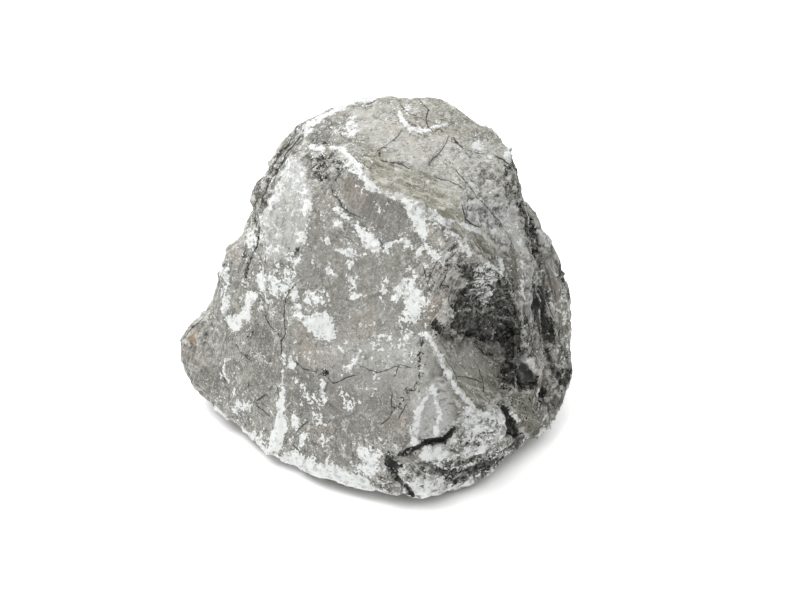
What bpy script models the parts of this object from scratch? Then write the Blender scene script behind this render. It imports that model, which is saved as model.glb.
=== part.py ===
"""A rough, freshly broken block of grey limestone, about 198 mm wide, that rests on its own broken base.

The stone is one solid.  It is made the way such a block breaks: a few convex masses that share a core are
joined, hollows and clefts are bitten out of them, the joined form is roughened with tilted chips, bedding
ledges and cracks, and the underside is broken off level.  Units are metres, +Z is up, the broad fracture
face looks towards -Y, and the origin is at the middle of the stone's box, on the surface that it rests on.
"""

import math

import bmesh
import bpy
from mathutils import Vector, noise

MM = 0.001

# ------------------------------------------------------------------------ driving dimensions, in millimetres
# Corners of the convex masses: right, back and up from the middle of the footprint.
MASSES = {
    "core": [
        # the top, round from its back left
        (-29, 45, 145), (-9, 52, 150), (31, 48, 152), (47, 37, 147), (59, 31, 142), (65, 21, 137),
        (69, 11, 128), (68, 7, 124), (50, -43, 119), (30, -30, 136), (20, -30, 139), (6, -22, 142),
        (-7, -13, 147), (-17, 3, 149), (-35, 16, 145), (-43, 5, 139), (-47, 34, 137),
        # down the right-hand spine
        (70, -7, 114), (74, -17, 98), (74, -23, 80), (82, -31, 50), (60, -43, 106), (67, -43, 86),
        # down the right edge of the broad front face
        (36, -48, 116), (24, -56, 84), (39, -70, 61), (57, -66, 46), (36, -78, 47), (11, -87, 30),
        # down the left edge of the broad front face
        (-54, -10, 117), (-60, 8, 120), (-61, 5, 106), (-46, -21, 85), (-46, -55, 19),
        # the lower front rim
        (-38, -63, 8), (-29, -66, 8), (-15, -71, 8), (-6, -78, 8), (10, -83, 8), (50, -70, 9),
        (75, -48, 14),
        # the back and the underside
        (-6, 58, 141), (28, 55, 143), (-42, 46, 112), (-10, 68, 100), (34, 62, 98), (40, 66, 40),
        (-20, 72, 45), (38, 62, 0), (-30, 66, 0), (-36, -54, 0), (0, -68, 0), (50, -58, 0),
    ],
    "rear": [
        (-46, 42, 100), (-33, 52, 108), (8, 62, 104), (18, 68, 76), (-36, 68, 74), (-56, 54, 60),
        (-52, 64, 22), (-14, 80, 30), (24, 76, 36), (18, 74, 3), (-44, 64, 2), (-20, 20, 80), (0, 10, 5),
    ],
    "rear right": [
        (56, 38, 128), (68, 30, 112), (70, 46, 80), (40, 70, 66), (46, 74, 30), (80, 48, 44),
        (80, 44, 5), (48, 68, 1), (64, 60, 12), (20, 20, 60), (20, 10, 5),
    ],
    "left shoulder": [
        (-63, -3, 104), (-73, 2, 94), (-76, -1, 84), (-77, -3, 76), (-84, -4, 62), (-82, -20, 11),
        (-57, -49, 10), (-43, -59, 9), (-47, -17, 92), (-47, -22, 84), (-46, -56, 19), (-62, 30, 100),
        (-66, 46, 62), (-56, 58, 30), (-74, 38, 36), (-70, 40, 0), (-68, -24, 0), (-42, -50, 0),
        (-30, 56, 3), (0, 0, 90), (0, 0, 0),
    ],
    "left lobe": [
        (-86, -1, 56), (-92, -2, 52), (-99, -1, 42), (-100, -3, 34), (-99, -4, 24), (-93, -10, 15),
        (-77, -27, 9), (-84, 22, 50), (-92, 22, 24), (-76, 44, 26), (-72, 44, 4), (-86, 18, 3),
        (-50, 40, 6), (-50, 10, 50), (-50, 0, 5),
    ],
    "right flank": [
        (72, 21, 108), (83, 14, 96), (90, 9, 80), (97, 8, 62), (97, 0, 46), (98, -13, 27), (93, -21, 14),
        (83, -38, 10), (74, 38, 98), (84, 40, 62), (90, 30, 22), (80, 42, 3), (60, 52, 40),
        (40, 30, 100), (40, 0, 10), (70, -20, 3),
    ],
    "toe": [
        (11, -87, 28), (36, -79, 46), (58, -69, 42), (66, -60, 24), (64, -59, 12), (54, -67, 9),
        (48, -72, 9), (39, -77, 8), (28, -85, 9), (14, -83, 8), (22, -74, 0), (48, -62, 0),
        (30, -40, 60), (30, -30, 0),
    ],
    "heel": [
        (63, -45, 44), (74, -43, 44), (84, -37, 22), (86, -30, 9), (79, -40, 7), (70, -50, 10),
        (68, -54, 30), (50, -20, 50), (50, -20, 5),
    ],
}

# Corners of the convex bites taken out of the masses.
BITES = {
    "hollow": [
        (26, -54, 84), (38, -47, 115), (60, -42, 106), (66, -37, 84), (64, -24, 56), (41, -68, 61),
        (58, -64, 46), (45, -100, 80), (75, -95, 55), (60, -100, 45), (84, -72, 68),
    ],
    "valley": [
        (64, -34, 60), (73, -24, 42), (66, -44, 45), (78, -60, 62), (88, -55, 42), (72, -75, 45),
    ],
    "gully": [
        (55, -8, 125), (66, -33, 92), (34, -30, 136), (50, -42, 119), (67, -3, 122), (74, -16, 104),
        (74, -27, 90), (80, -60, 130), (60, -20, 145),
    ],
    "spine cleft": [
        (70, 8, 117), (72, 2, 100), (74, -6, 84), (73, -4, 116), (78, -12, 98), (80, -18, 84),
        (90, 2, 112),
    ],
}

# Cracks: how wide, how deep, and the corners of the way each one runs.
CRACKS = {
    "over the toe": (
        1.7, 4.5, [(37, -79, 47), (31, -81, 40), (22, -82, 36), (14, -84, 33), (6, -84, 28), (8, -86, 18)],
    ),
    "beside the toe": (2.4, 8.0, [(61, -62, 48), (66, -60, 38), (69, -57, 28), (71, -54, 18)]),
    "down the front": (1.2, 1.8, [(-45, -23, 88), (-47, -35, 62), (-46, -46, 40), (-46, -56, 19)]),
    "across the front": (
        1.2, 1.6, [(-41, -44, 52), (-30, -48, 51), (-20, -55, 44), (-3, -60, 48), (18, -66, 52)],
    ),
}

# Roughness.
CHIPS = ((18.0, 1.8), (8.0, 0.6))  # how wide the tilted chips are, and how far they lean
WAVES = (34.0, 1.3)  # how long and how high the broad unevenness is
UNDERSIDE_WAVES = (42.0, 3.0)  # the underside's own, so that the stone rests on a few level patches
UNDERSIDE_SLOPE = -0.8  # a surface that looks down more steeply than this is underside
BED_NORMAL = Vector((0.12, 0.25, 0.96))  # the beds lie nearly level
BED_SPACING = 6.5  # from one bedding ledge to the next
BED_BEND = (25.0, 1.2)  # how long the beds' bends are, and how far they go, in beds
LEDGE = 2.0  # how far a ledge steps out
LEDGE_AREAS = (30.0, 0.15)  # how wide the ledged areas are, and how many of them there are
BROAD_FACE = Vector((-0.42, -0.82, 0.39))  # the way the broad, smoother fracture face looks
BROAD_FACE_SHARE = 0.9  # how near to that way a surface looks to belong to the face
BROAD_FACE_ROUGHNESS = 0.45

BASE_LEVEL = 0.6  # the patches that the stone rests on are broken off level this far up
GROUND_SIZE = 400.0
WORK_MESH = 1.8
FINAL_TRIANGLES = 9000

STONE_COLOUR = (0.31, 0.30, 0.28, 1.0)
STONE_ROUGHNESS = 0.92


# How the random patterns are read.
CELL_SPREAD = 7.3  # spreads neighbouring cells over the random numbers
ELSEWHERE = Vector((7.0, 7.0, 7.0))  # a part of the noise that nothing else reads
WAVE_OCTAVES = (0.8, 2.0, 3)  # roughness, lacunarity and octaves


# ------------------------------------------------------------------------ building
def new_object(name, mesh, collection, helper=False):
    """An object in the given collection; a helper isn't part of the stone."""
    made = bpy.data.objects.new(name, mesh)
    collection.objects.link(made)
    if helper:
        made.hide_render = True
        made.display_type = "WIRE"
    return made


def hull(name, corners, collection):
    """The convex mass through these corners."""
    bm = bmesh.new()
    for corner in corners:
        bm.verts.new(Vector(corner) * MM)
    made = bmesh.ops.convex_hull(bm, input=bm.verts)
    loose = [item for item in made["geom_interior"] if isinstance(item, bmesh.types.BMVert)]
    bmesh.ops.delete(bm, geom=loose, context="VERTS")
    bmesh.ops.recalc_face_normals(bm, faces=bm.faces)
    mesh = bpy.data.meshes.new(name)
    bm.to_mesh(mesh)
    bm.free()
    return new_object(name, mesh, collection, helper=True)


def apply_modifiers(obj):
    """Keeps what the modifiers made, and drops them."""
    graph = bpy.context.evaluated_depsgraph_get()
    made = bpy.data.meshes.new_from_object(obj.evaluated_get(graph), depsgraph=graph)
    obj.modifiers.clear()
    obj.data = made


def add_boolean(obj, operation, other):
    step = obj.modifiers.new(f"{operation} {other.name}", "BOOLEAN")
    step.operation = operation
    step.solver = "EXACT"
    step.object = other


def joined_masses(collection, helpers):
    """The masses made one, with the bites taken out, as an even mesh."""
    masses = [hull(name, corners, helpers) for name, corners in MASSES.items()]
    bites = [hull(name, corners, helpers) for name, corners in BITES.items()]
    rock = new_object("rock", masses[0].data.copy(), collection)
    for mass in masses[1:]:
        add_boolean(rock, "UNION", mass)
    for bite in bites:
        add_boolean(rock, "DIFFERENCE", bite)
    remesh = rock.modifiers.new("even mesh", "REMESH")
    remesh.mode = "VOXEL"
    remesh.voxel_size = WORK_MESH * MM
    apply_modifiers(rock)
    return rock


# ------------------------------------------------------------------------ roughness, all in millimetres
def chip_height(place, width):
    """Each cell of a broken pattern is a flat chip that leans its own way."""
    centre = noise.voronoi(place / width)[1][0]
    lean = noise.cell_vector(centre * CELL_SPREAD) - Vector((0.5, 0.5, 0.5))
    return (place / width - centre).dot(lean)


def ledge_height(place):
    """Beds that lie nearly level break back in small steps, more in some places than in others."""
    bend_length, bend = BED_BEND
    area_width, area_share = LEDGE_AREAS
    level = place.dot(BED_NORMAL) / BED_SPACING + noise.noise(place / bend_length) * bend
    step = level - math.floor(level) - 0.5
    much = max(0.0, noise.noise(place / area_width + ELSEWHERE) + area_share)
    return step * much * LEDGE


def distance_to_path(place, corners):
    nearest = math.inf
    for start, end in zip(corners, corners[1:]):
        along = end - start
        share = min(1.0, max(0.0, (place - start).dot(along) / along.length_squared))
        nearest = min(nearest, (place - start - along * share).length)
    return nearest


def crack_depth(place, cracks):
    depth = 0.0
    for width, full_depth, corners in cracks:
        away = distance_to_path(place, corners) / width
        depth += full_depth * math.exp(-away * away)
    return depth


def roughen(mesh):
    cracks = [(width, depth, [Vector(corner) for corner in way]) for width, depth, way in CRACKS.values()]
    moves = []
    for vertex in mesh.vertices:
        place = vertex.co / MM
        calm = BROAD_FACE_ROUGHNESS if vertex.normal.dot(BROAD_FACE) > BROAD_FACE_SHARE else 1.0
        wave_length, wave_height = UNDERSIDE_WAVES if vertex.normal.z < UNDERSIDE_SLOPE else WAVES
        height = noise.fractal(place / wave_length, *WAVE_OCTAVES) * wave_height
        height += calm * sum(chip_height(place, width) * lean for width, lean in CHIPS)
        height += calm * ledge_height(place)
        height -= crack_depth(place, cracks)
        moves.append(vertex.normal * height * MM)
    for vertex, move in zip(mesh.vertices, moves):
        vertex.co += move


# ------------------------------------------------------------------------ finishing
def lighten(rock):
    """Fewer triangles, kept where the form turns."""
    triangles = sum(len(face.vertices) - 2 for face in rock.data.polygons)
    fewer = rock.modifiers.new("fewer triangles", "DECIMATE")
    fewer.ratio = FINAL_TRIANGLES / triangles
    fewer.use_collapse_triangulate = True
    apply_modifiers(rock)


def break_base_level(rock, helpers):
    """Cuts off what is under the level that the stone rests on."""
    bm = bmesh.new()
    bmesh.ops.create_cube(bm, size=GROUND_SIZE * MM)
    bmesh.ops.translate(bm, verts=bm.verts, vec=(0, 0, (BASE_LEVEL - GROUND_SIZE / 2) * MM))
    mesh = bpy.data.meshes.new("ground")
    bm.to_mesh(mesh)
    bm.free()
    add_boolean(rock, "DIFFERENCE", new_object("ground", mesh, helpers, helper=True))
    apply_modifiers(rock)


def centre_on_base(mesh):
    """Puts the origin at the middle of the box, at the level of the base."""
    lowest = Vector([min(vertex.co[axis] for vertex in mesh.vertices) for axis in range(3)])
    highest = Vector([max(vertex.co[axis] for vertex in mesh.vertices) for axis in range(3)])
    middle = (lowest + highest) / 2
    for vertex in mesh.vertices:
        vertex.co -= Vector((middle.x, middle.y, lowest.z))


def limestone():
    material = bpy.data.materials.new("grey limestone")
    material.use_nodes = True
    shader = material.node_tree.nodes["Principled BSDF"]
    shader.inputs["Base Color"].default_value = STONE_COLOUR
    shader.inputs["Roughness"].default_value = STONE_ROUGHNESS
    shader.inputs["Metallic"].default_value = 0.0
    return material


def main():
    for old in list(bpy.data.objects):
        bpy.data.objects.remove(old)
    stone = bpy.data.collections.new("rough_rock")
    helpers = bpy.data.collections.new("masses_and_bites")
    bpy.context.scene.collection.children.link(stone)
    bpy.context.scene.collection.children.link(helpers)

    rock = joined_masses(stone, helpers)
    roughen(rock.data)
    lighten(rock)
    break_base_level(rock, helpers)
    centre_on_base(rock.data)
    rock.data.materials.append(limestone())


main()
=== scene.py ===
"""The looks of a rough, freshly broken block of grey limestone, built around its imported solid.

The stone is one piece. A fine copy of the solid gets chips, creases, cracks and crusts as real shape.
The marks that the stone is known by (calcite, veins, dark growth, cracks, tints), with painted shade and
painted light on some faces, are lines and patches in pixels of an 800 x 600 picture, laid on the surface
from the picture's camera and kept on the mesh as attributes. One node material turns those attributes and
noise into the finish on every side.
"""
import itertools
import math
import bmesh
import bpy
import numpy as np
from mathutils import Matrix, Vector
from mathutils.bvhtree import BVHTree


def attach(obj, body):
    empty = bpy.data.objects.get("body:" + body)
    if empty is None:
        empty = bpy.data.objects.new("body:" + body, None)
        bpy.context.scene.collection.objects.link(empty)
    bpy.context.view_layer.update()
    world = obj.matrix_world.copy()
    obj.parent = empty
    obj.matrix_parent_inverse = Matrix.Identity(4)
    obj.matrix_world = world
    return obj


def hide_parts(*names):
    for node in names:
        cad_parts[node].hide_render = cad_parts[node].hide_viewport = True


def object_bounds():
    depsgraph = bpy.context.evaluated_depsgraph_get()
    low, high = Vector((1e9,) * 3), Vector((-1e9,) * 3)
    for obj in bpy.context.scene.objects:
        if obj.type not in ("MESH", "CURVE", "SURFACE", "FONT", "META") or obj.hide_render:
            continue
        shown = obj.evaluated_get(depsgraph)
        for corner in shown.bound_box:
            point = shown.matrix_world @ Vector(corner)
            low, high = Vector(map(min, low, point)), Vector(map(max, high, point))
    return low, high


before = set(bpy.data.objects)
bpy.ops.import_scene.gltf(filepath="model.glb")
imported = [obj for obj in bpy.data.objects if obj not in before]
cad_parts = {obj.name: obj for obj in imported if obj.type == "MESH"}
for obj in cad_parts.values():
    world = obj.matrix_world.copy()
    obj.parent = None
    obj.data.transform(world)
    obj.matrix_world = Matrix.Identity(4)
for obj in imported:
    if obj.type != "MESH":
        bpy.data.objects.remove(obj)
cad_low, cad_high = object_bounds()

MM = 0.001

# ------------------------------------------------------------------------ the picture's camera
PICTURE = (800, 600)
LENS, SENSOR = 85.0, 36.0
PIXEL = 0.5 * MM  # what one pixel spans at the target
ELEVATION = math.radians(35.0)
TARGET = Vector((0.01215, 0.00959, 0.0594))
TO_CAMERA = Vector((0.0, -math.cos(ELEVATION), math.sin(ELEVATION)))
CAMERA_UP = Vector((0.0, math.sin(ELEVATION), math.cos(ELEVATION)))
PIXELS_PER_SLOPE = PICTURE[0] * LENS / SENSOR
CAMERA_PLACE = TARGET + TO_CAMERA * (PIXEL * PIXELS_PER_SLOPE)

# ------------------------------------------------------------------------ the surface, in millimetres
GRID = 1.22  # the mesh of the fine surface
BOX_GAP = 0.05  # the surface stays this far inside the solid's box
FRONT_FACE = Vector((-0.42, -0.82, 0.39))  # the way the broad fracture face looks
CHIPS = (  # (size, slope, step between neighbours, seed, softness of the edges)
    (13.0, 0.11, 0.25, 21, 0.45),
    (6.5, 0.14, 0.22, 22, 0.35),
    (3.2, 0.16, 0.12, 23, 0.25),
)
CALM_FRONT, CALM_TOP, CALM_FACETS = 0.75, 0.72, 0.9  # how far flat faces are kept from chips
CALM_HIDDEN, CALM_EVEN, PLAIN_EVEN = 0.35, 0.45, 0.6  # the same out of sight, and more where it is even
ROUGH_HEIGHT, ROUGH_CALM, ROUGH_EDGE = 0.42, 0.34, 0.55  # small lumps: less where calm, more edgewise
HIDDEN_LAYERS, HIDDEN_STAIN, HIDDEN_TINT = 0.5, 0.9, 0.7  # the most that there is out of sight
BEND = 2.0  # how far noise bends the chips and the layers
BEDDING = (0.35, 0.20, 0.90)  # across the layers
BEDDING_SCALE = 2.0  # pixels of the picture for each millimetre
LAYER_HEIGHT, LAYER_STEP, LAYER_LENGTH = 0.35, 3.4, 30.0  # the step is in pixels of the picture
CRUST_HEIGHT, CRACK_DEPTH, PIT_DEPTH = 0.20, 0.13, 0.50
OFF_THE_GROUND = (0.3, 4.0)  # heights between which the relief grows from nothing to full
RAY_START = 0.6  # how far off the surface a ray to the camera starts

# Levels between which something grows from nothing to full.
SEEN_FACING = (0.02, 0.14)
CALCITE_KILLED = (0.70, 0.95)  # by dark growth, and by painted shade under the heel and in the valley
CALCITE_HIDDEN, STAIN_HIDDEN = (0.05, 0.38), (0.24, 0.58)  # of noise, out of sight
VEINS_HIDDEN, CRACKS_HIDDEN = (0.05, 0.25), (0.02, 0.22)
CRUST_RISES, PIT_SINKS = (0.45, 0.75), (0.4, 1.0)

# Noise in the surface: (size of its largest lumps, octaves, seed or seeds, fade with each octave).
WARP = (9.0, 3, (11, 12, 13), 0.5)
RAGGED = (3.2, 3, (31, 32), 0.65)
ROUGH = (5.0, 4, 24, 0.7)
EVEN = (38.0, 2, 49, 0.5)
BEDDED = (26.0, 3, 48, 0.5)
REGION = (46.0, 2, 41, 0.5)
PATCHY = (13.0, 4, 42, 0.6)
GROWN = (24.0, 4, 43, 0.6)
VEIN_SHEET = (34.0, 2, 44, 0.35)
VEIN_GATE = (21.0, 2, 45, 0.5)
CRACK_SHEET = (30.0, 2, 46, 0.4)
CRACK_GATE = (19.0, 2, 47, 0.5)
CRUSTY = (2.6, 2, 51, 0.5)
PITTED = (3.2, 3, 52, 0.7)
DRIFT_SIZE, DRIFT_OCTAVES, DRIFT_SEED = 30.0, 3, 61  # one more seed for each tint
LAYER_SEED = 25

# Out of sight, noise draws lines of the same kinds, this many half widths for each unit of the noise.
VEIN_SPREAD = 60.0
CRACK_SPREAD = 75.0

# ------------------------------------------------------------------------ marks, in pixels of the picture
# Corners and points are x, y, x, y, and so on. The cover says how thickly a mark covers the stone: 1 is
# solid and 0.3 a sprinkling.
HALO = 0.10  # a light dusting around a mark, as a share of its cover
DARK_BAND_HALO = 0.08
RAGGED_PATCHES, RAGGED_BANDS = 1.5, 1.0  # how far noise moves the edges of each kind of mark
RAGGED_THREADS, RAGGED_CRACKS, RAGGED_LAYERS = 1.5, 1.4, 1.6
LINE_REACH = 9.0  # around a line in which its distance is kept
FAR_SIDE = 9.0  # half widths of a line that count as far from it
FAR_AWAY = 99.0
GATE_END, GATE_WIDTH = 3.6, 1.6  # how far from a line its gate is shut, and how softly it shuts
LAYER_PIXELS = 2.6  # how thick a layer is
CALCITE_PATCHES = {  # (cover, width of the ragged fringe, corners)
    "sheet top": (0.5, 6, [285, 160, 297, 158, 304, 168, 308, 184, 311, 197, 300, 196, 290, 190,
        282, 182]),
    "sheet left edge": (0.62, 6, [281, 183, 287, 190, 275, 208, 268, 226, 270, 244, 261, 238, 262, 220,
        270, 200]),
    "sheet": (0.14, 8, [290, 172, 306, 180, 312, 205, 304, 232, 292, 250, 266, 256, 262, 228, 276, 196]),
    "right of the sheet": (1.0, 6, [302, 199, 311, 198, 313, 206, 306, 215, 302, 210]),
    "sheet foot right": (0.75, 7, [303, 225, 310, 226, 308, 235, 301, 246, 295, 244, 297, 236]),
    "bluish foot": (0.7, 6, [288, 256, 301, 256, 301, 264, 291, 265, 286, 260]),
    "under the sheet": (0.37, 9, [262, 244, 290, 246, 300, 262, 296, 282, 276, 278, 262, 262]),
    "high left corner": (0.9, 4, [304, 128, 312, 124, 310, 134, 305, 142, 303, 136]),
    "small high left": (0.95, 4, [309, 145, 319, 145, 326, 149, 323, 154, 313, 152]),
    "pale wedge at the top": (0.85, 6, [345, 122, 354, 115, 358, 124, 357, 137, 350, 135, 346, 130]),
    "between the wedge and the ridge": (0.75, 4, [329, 127, 338, 130, 346, 132, 352, 138, 344, 136,
        334, 133]),
    "ridge knot": (1.0, 4, [353, 165, 361, 165, 364, 173, 361, 178, 355, 173]),
    "ridge haze": (0.18, 9, [326, 146, 344, 150, 360, 164, 364, 178, 350, 176, 336, 164]),
    "under the plate": (0.95, 5, [331, 209, 338, 206, 344, 212, 349, 218, 344, 219, 338, 213, 333, 214]),
    "below that": (0.82, 4, [328, 220, 337, 221, 344, 224, 342, 228, 336, 225, 329, 223]),
    "left of that": (0.7, 4, [318, 208, 322, 209, 323, 217, 319, 216]),
    "oval one": (1.0, 3, [325, 239, 328, 236, 331, 239, 330, 246, 326, 247]),
    "oval two": (1.0, 3, [325, 268, 328, 266, 331, 270, 330, 275, 326, 275]),
    "smear": (1.0, 6, [356, 223, 364, 228, 372, 235, 378, 241, 380, 251, 372, 252, 364, 246, 358, 236]),
    "smear haze": (0.24, 9, [344, 230, 358, 228, 368, 244, 360, 254, 348, 250, 342, 240]),
    "zigzag": (0.92, 4, [333, 243, 340, 248, 350, 249, 360, 254, 357, 258, 346, 259, 342, 256, 336, 251]),
    "zigzag foot": (0.8, 4, [344, 258, 353, 259, 353, 266, 349, 270, 347, 263]),
    "drips": (0.78, 4, [350, 275, 353, 276, 356, 284, 354, 288, 351, 282]),
    "drips foot": (0.82, 5, [350, 293, 358, 291, 362, 296, 354, 300, 349, 298]),
    "upright": (0.8, 4, [386, 278, 389, 280, 386, 289, 382, 298, 378, 302, 380, 292, 384, 285]),
    "blob right of the smear": (0.95, 4, [403, 241, 409, 239, 410, 246, 404, 248]),
    "drop": (0.85, 4, [417, 248, 422, 249, 421, 257, 417, 258]),
    "streak": (1.0, 4, [404, 203, 414, 205, 421, 211, 427, 218, 428, 230, 429, 244, 437, 252, 435, 257,
        429, 255, 423, 246, 418, 234, 412, 221, 406, 211]),
    "facet below the hollow": (0.2, 8, [440, 342, 474, 346, 505, 356, 500, 372, 470, 364, 448, 358]),
    "right facet": (0.32, 10, [470, 204, 512, 206, 524, 246, 500, 250, 474, 226]),
    "streak haze": (0.12, 10, [404, 196, 430, 208, 446, 218, 450, 232, 438, 244, 436, 262, 424, 264,
        414, 246, 400, 224]),
    "wing of the streak": (0.55, 5, [428, 212, 440, 218, 452, 234, 450, 238, 440, 230, 430, 224]),
    "great patch": (0.92, 7, [406, 284, 417, 283, 425, 290, 427, 300, 422, 308, 421, 318, 413, 327,
        405, 318, 402, 304, 403, 292]),
    "great patch west": (0.8, 6, [394, 288, 403, 284, 403, 298, 394, 304, 390, 300]),
    "great patch haze": (0.2, 12, [388, 280, 410, 270, 430, 288, 430, 308, 422, 326, 400, 330, 394, 312]),
    "branch haze": (0.28, 8, [413, 262, 424, 256, 418, 270, 406, 282, 402, 280]),
    "belt": (0.7, 8, [393, 338, 400, 335, 411, 334, 412, 344, 402, 348, 396, 350]),
    "belt west": (0.85, 4, [378, 339, 382, 339, 384, 345, 380, 347]),
    "belt haze": (0.22, 12, [372, 330, 412, 328, 424, 338, 416, 352, 392, 360, 374, 352]),
    "belt streak": (0.7, 5, [389, 343, 393, 345, 392, 356, 387, 358]),
    "left patch": (1.0, 5, [255, 274, 265, 271, 268, 280, 268, 292, 261, 290, 255, 284]),
    "left patch haze": (0.3, 10, [236, 284, 258, 266, 292, 268, 298, 300, 262, 306, 240, 312]),
    "left patch east": (0.86, 7, [267, 273, 276, 275, 288, 288, 288, 298, 278, 297, 268, 292]),
    "left dot": (0.85, 4, [268, 300, 273, 300, 274, 305, 269, 306]),
    "left tail": (1.0, 5, [250, 291, 258, 292, 259, 300, 251, 306, 250, 318, 243, 322, 239, 332, 232, 332,
        226, 324, 222, 314, 232, 318, 240, 310, 246, 299]),
    "left arm": (0.8, 6, [222, 284, 228, 284, 229, 300, 231, 314, 236, 324, 226, 324, 221, 312]),
    "left rim": (0.8, 5, [217, 269, 224, 267, 230, 262, 230, 279, 225, 284]),
    "left speckles": (0.6, 9, [242, 232, 252, 225, 262, 226, 262, 240, 258, 248, 246, 250]),
    "by the front crack": (0.85, 5, [290, 291, 297, 290, 300, 299, 296, 305, 290, 300]),
    "by the front crack low": (0.5, 6, [286, 306, 294, 306, 296, 320, 288, 320]),
    "middle patch": (1.0, 7, [305, 316, 315, 313, 328, 314, 333, 322, 334, 334, 332, 343, 325, 340,
        317, 341, 308, 332, 302, 322]),
    "above the middle patch": (0.8, 6, [303, 288, 310, 288, 318, 296, 319, 306, 313, 309, 307, 305,
        302, 300]),
    "west of the middle patch": (0.8, 6, [294, 303, 302, 304, 306, 318, 300, 324, 295, 316]),
    "middle haze": (0.22, 12, [286, 286, 318, 282, 334, 306, 338, 330, 326, 346, 300, 332, 290, 312]),
    "tail of the middle patch": (0.9, 4, [333, 340, 339, 344, 348, 352, 345, 354, 337, 347]),
    "ring spot": (1.0, 3, [287, 361, 293, 358, 297, 364, 293, 369, 288, 368]),
    "spot above it": (0.9, 3, [290, 354, 293, 354, 293, 359, 289, 360]),
    "spot beside it": (0.9, 3, [295, 354, 299, 354, 298, 361, 295, 360]),
    "west spot": (1.0, 3, [236, 365, 240, 364, 242, 369, 238, 371]),
    "mottle west": (0.55, 8, [229, 402, 240, 396, 250, 399, 252, 410, 244, 418, 232, 414]),
    "west streak": (0.9, 4, [231, 394, 234, 386, 237, 386, 236, 393, 233, 397]),
    "wedge vein": (1.0, 2, [280, 393, 284, 393, 285, 414, 288, 430, 283, 440, 280, 453, 268, 451,
        269, 440, 275, 424]),
    "patch beside the wedge": (0.92, 4, [290, 413, 296, 414, 300, 422, 298, 433, 292, 425]),
    "blob under it": (0.95, 4, [299, 432, 306, 432, 310, 439, 302, 441]),
    "small blob under it": (0.9, 3, [300, 442, 305, 443, 304, 448, 300, 447]),
    "corner crust": (0.85, 7, [285, 450, 296, 449, 311, 455, 318, 463, 312, 470, 296, 468, 286, 460]),
    "corner blob": (0.95, 3, [325, 457, 329, 457, 329, 466, 325, 465]),
    "west corner crust": (0.7, 7, [245, 434, 264, 433, 267, 447, 256, 446]),
    "right of the pit": (0.75, 5, [351, 356, 358, 358, 355, 368, 350, 372, 342, 372, 349, 364]),
    "upright below the pit": (0.85, 3, [321, 379, 325, 378, 326, 386, 324, 396, 320, 395]),
    "next upright": (0.85, 3, [323, 398, 327, 399, 327, 405, 323, 405]),
    "dots": (0.55, 6, [343, 393, 353, 394, 355, 410, 345, 411]),
    "cool patch": (0.45, 6, [371, 373, 380, 373, 380, 386, 376, 391, 372, 382]),
    "foot patch": (0.8, 10, [358, 450, 364, 445, 378, 447, 381, 460, 376, 476, 366, 480, 357, 470]),
    "foot haze": (0.2, 12, [344, 444, 380, 438, 390, 450, 384, 478, 362, 484, 346, 470]),
    "toe band": (0.88, 6, [416, 458, 421, 450, 430, 445, 438, 447, 448, 448, 454, 454, 464, 455, 479, 452,
        478, 456, 450, 460, 436, 461, 424, 463]),
    "toe crust": (0.45, 8, [452, 428, 464, 416, 482, 411, 494, 406, 505, 415, 506, 432, 500, 448,
        486, 456, 464, 454, 452, 446]),
    "toe crust top": (0.75, 6, [458, 405, 471, 404, 482, 411, 494, 407, 504, 415, 506, 424, 498, 430,
        486, 424, 472, 420, 462, 416]),
    "toe blob": (0.95, 4, [472, 443, 478, 447, 484, 442, 489, 446, 486, 454, 478, 454, 473, 449]),
    "toe blade": (0.8, 3, [477, 428, 480, 428, 485, 437, 483, 440, 479, 435]),
    "toe west": (0.92, 7, [400, 478, 408, 482, 420, 480, 444, 480, 446, 490, 430, 496, 412, 494,
        402, 488]),
    "toe swirl": (0.6, 6, [396, 468, 410, 472, 424, 482, 420, 488, 406, 480]),
    "fringe under the gully": (0.8, 5, [483, 257, 490, 262, 497, 267, 502, 258, 505, 272, 496, 272,
        489, 269, 482, 262]),
    "hollow speckles": (0.4, 5, [474, 262, 490, 266, 498, 276, 495, 296, 484, 306, 475, 290]),
    "top right rim": (0.95, 4, [507, 146, 511, 150, 514, 164, 509, 164, 504, 157]),
    "top right dot": (1.0, 3, [472, 142, 480, 141, 481, 148, 476, 151, 471, 149]),
    "top right dot two": (0.95, 3, [488, 153, 494, 155, 493, 159, 489, 157]),
    "top blob": (0.8, 4, [404, 104, 411, 103, 410, 110, 405, 110]),
    "scar end": (0.95, 3, [416, 127, 426, 127, 428, 131, 421, 134, 414, 131]),
    "cleft whites": (0.7, 6, [535, 224, 546, 228, 549, 246, 542, 246, 537, 236]),
    "flank whites": (0.18, 8, [548, 288, 566, 286, 573, 306, 570, 330, 560, 326, 550, 306]),
    "flank whites low": (0.36, 8, [552, 340, 570, 336, 570, 360, 560, 364]),
    "flank near the crest": (0.4, 7, [533, 268, 544, 268, 546, 280, 538, 286, 533, 280]),
    "heel corner": (0.42, 6, [544, 414, 552, 420, 546, 431, 538, 440, 520, 440, 534, 434, 543, 426]),
    "crest leaf": (0.45, 4, [522, 262, 528, 266, 529, 282, 523, 296, 520, 280]),
}
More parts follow.
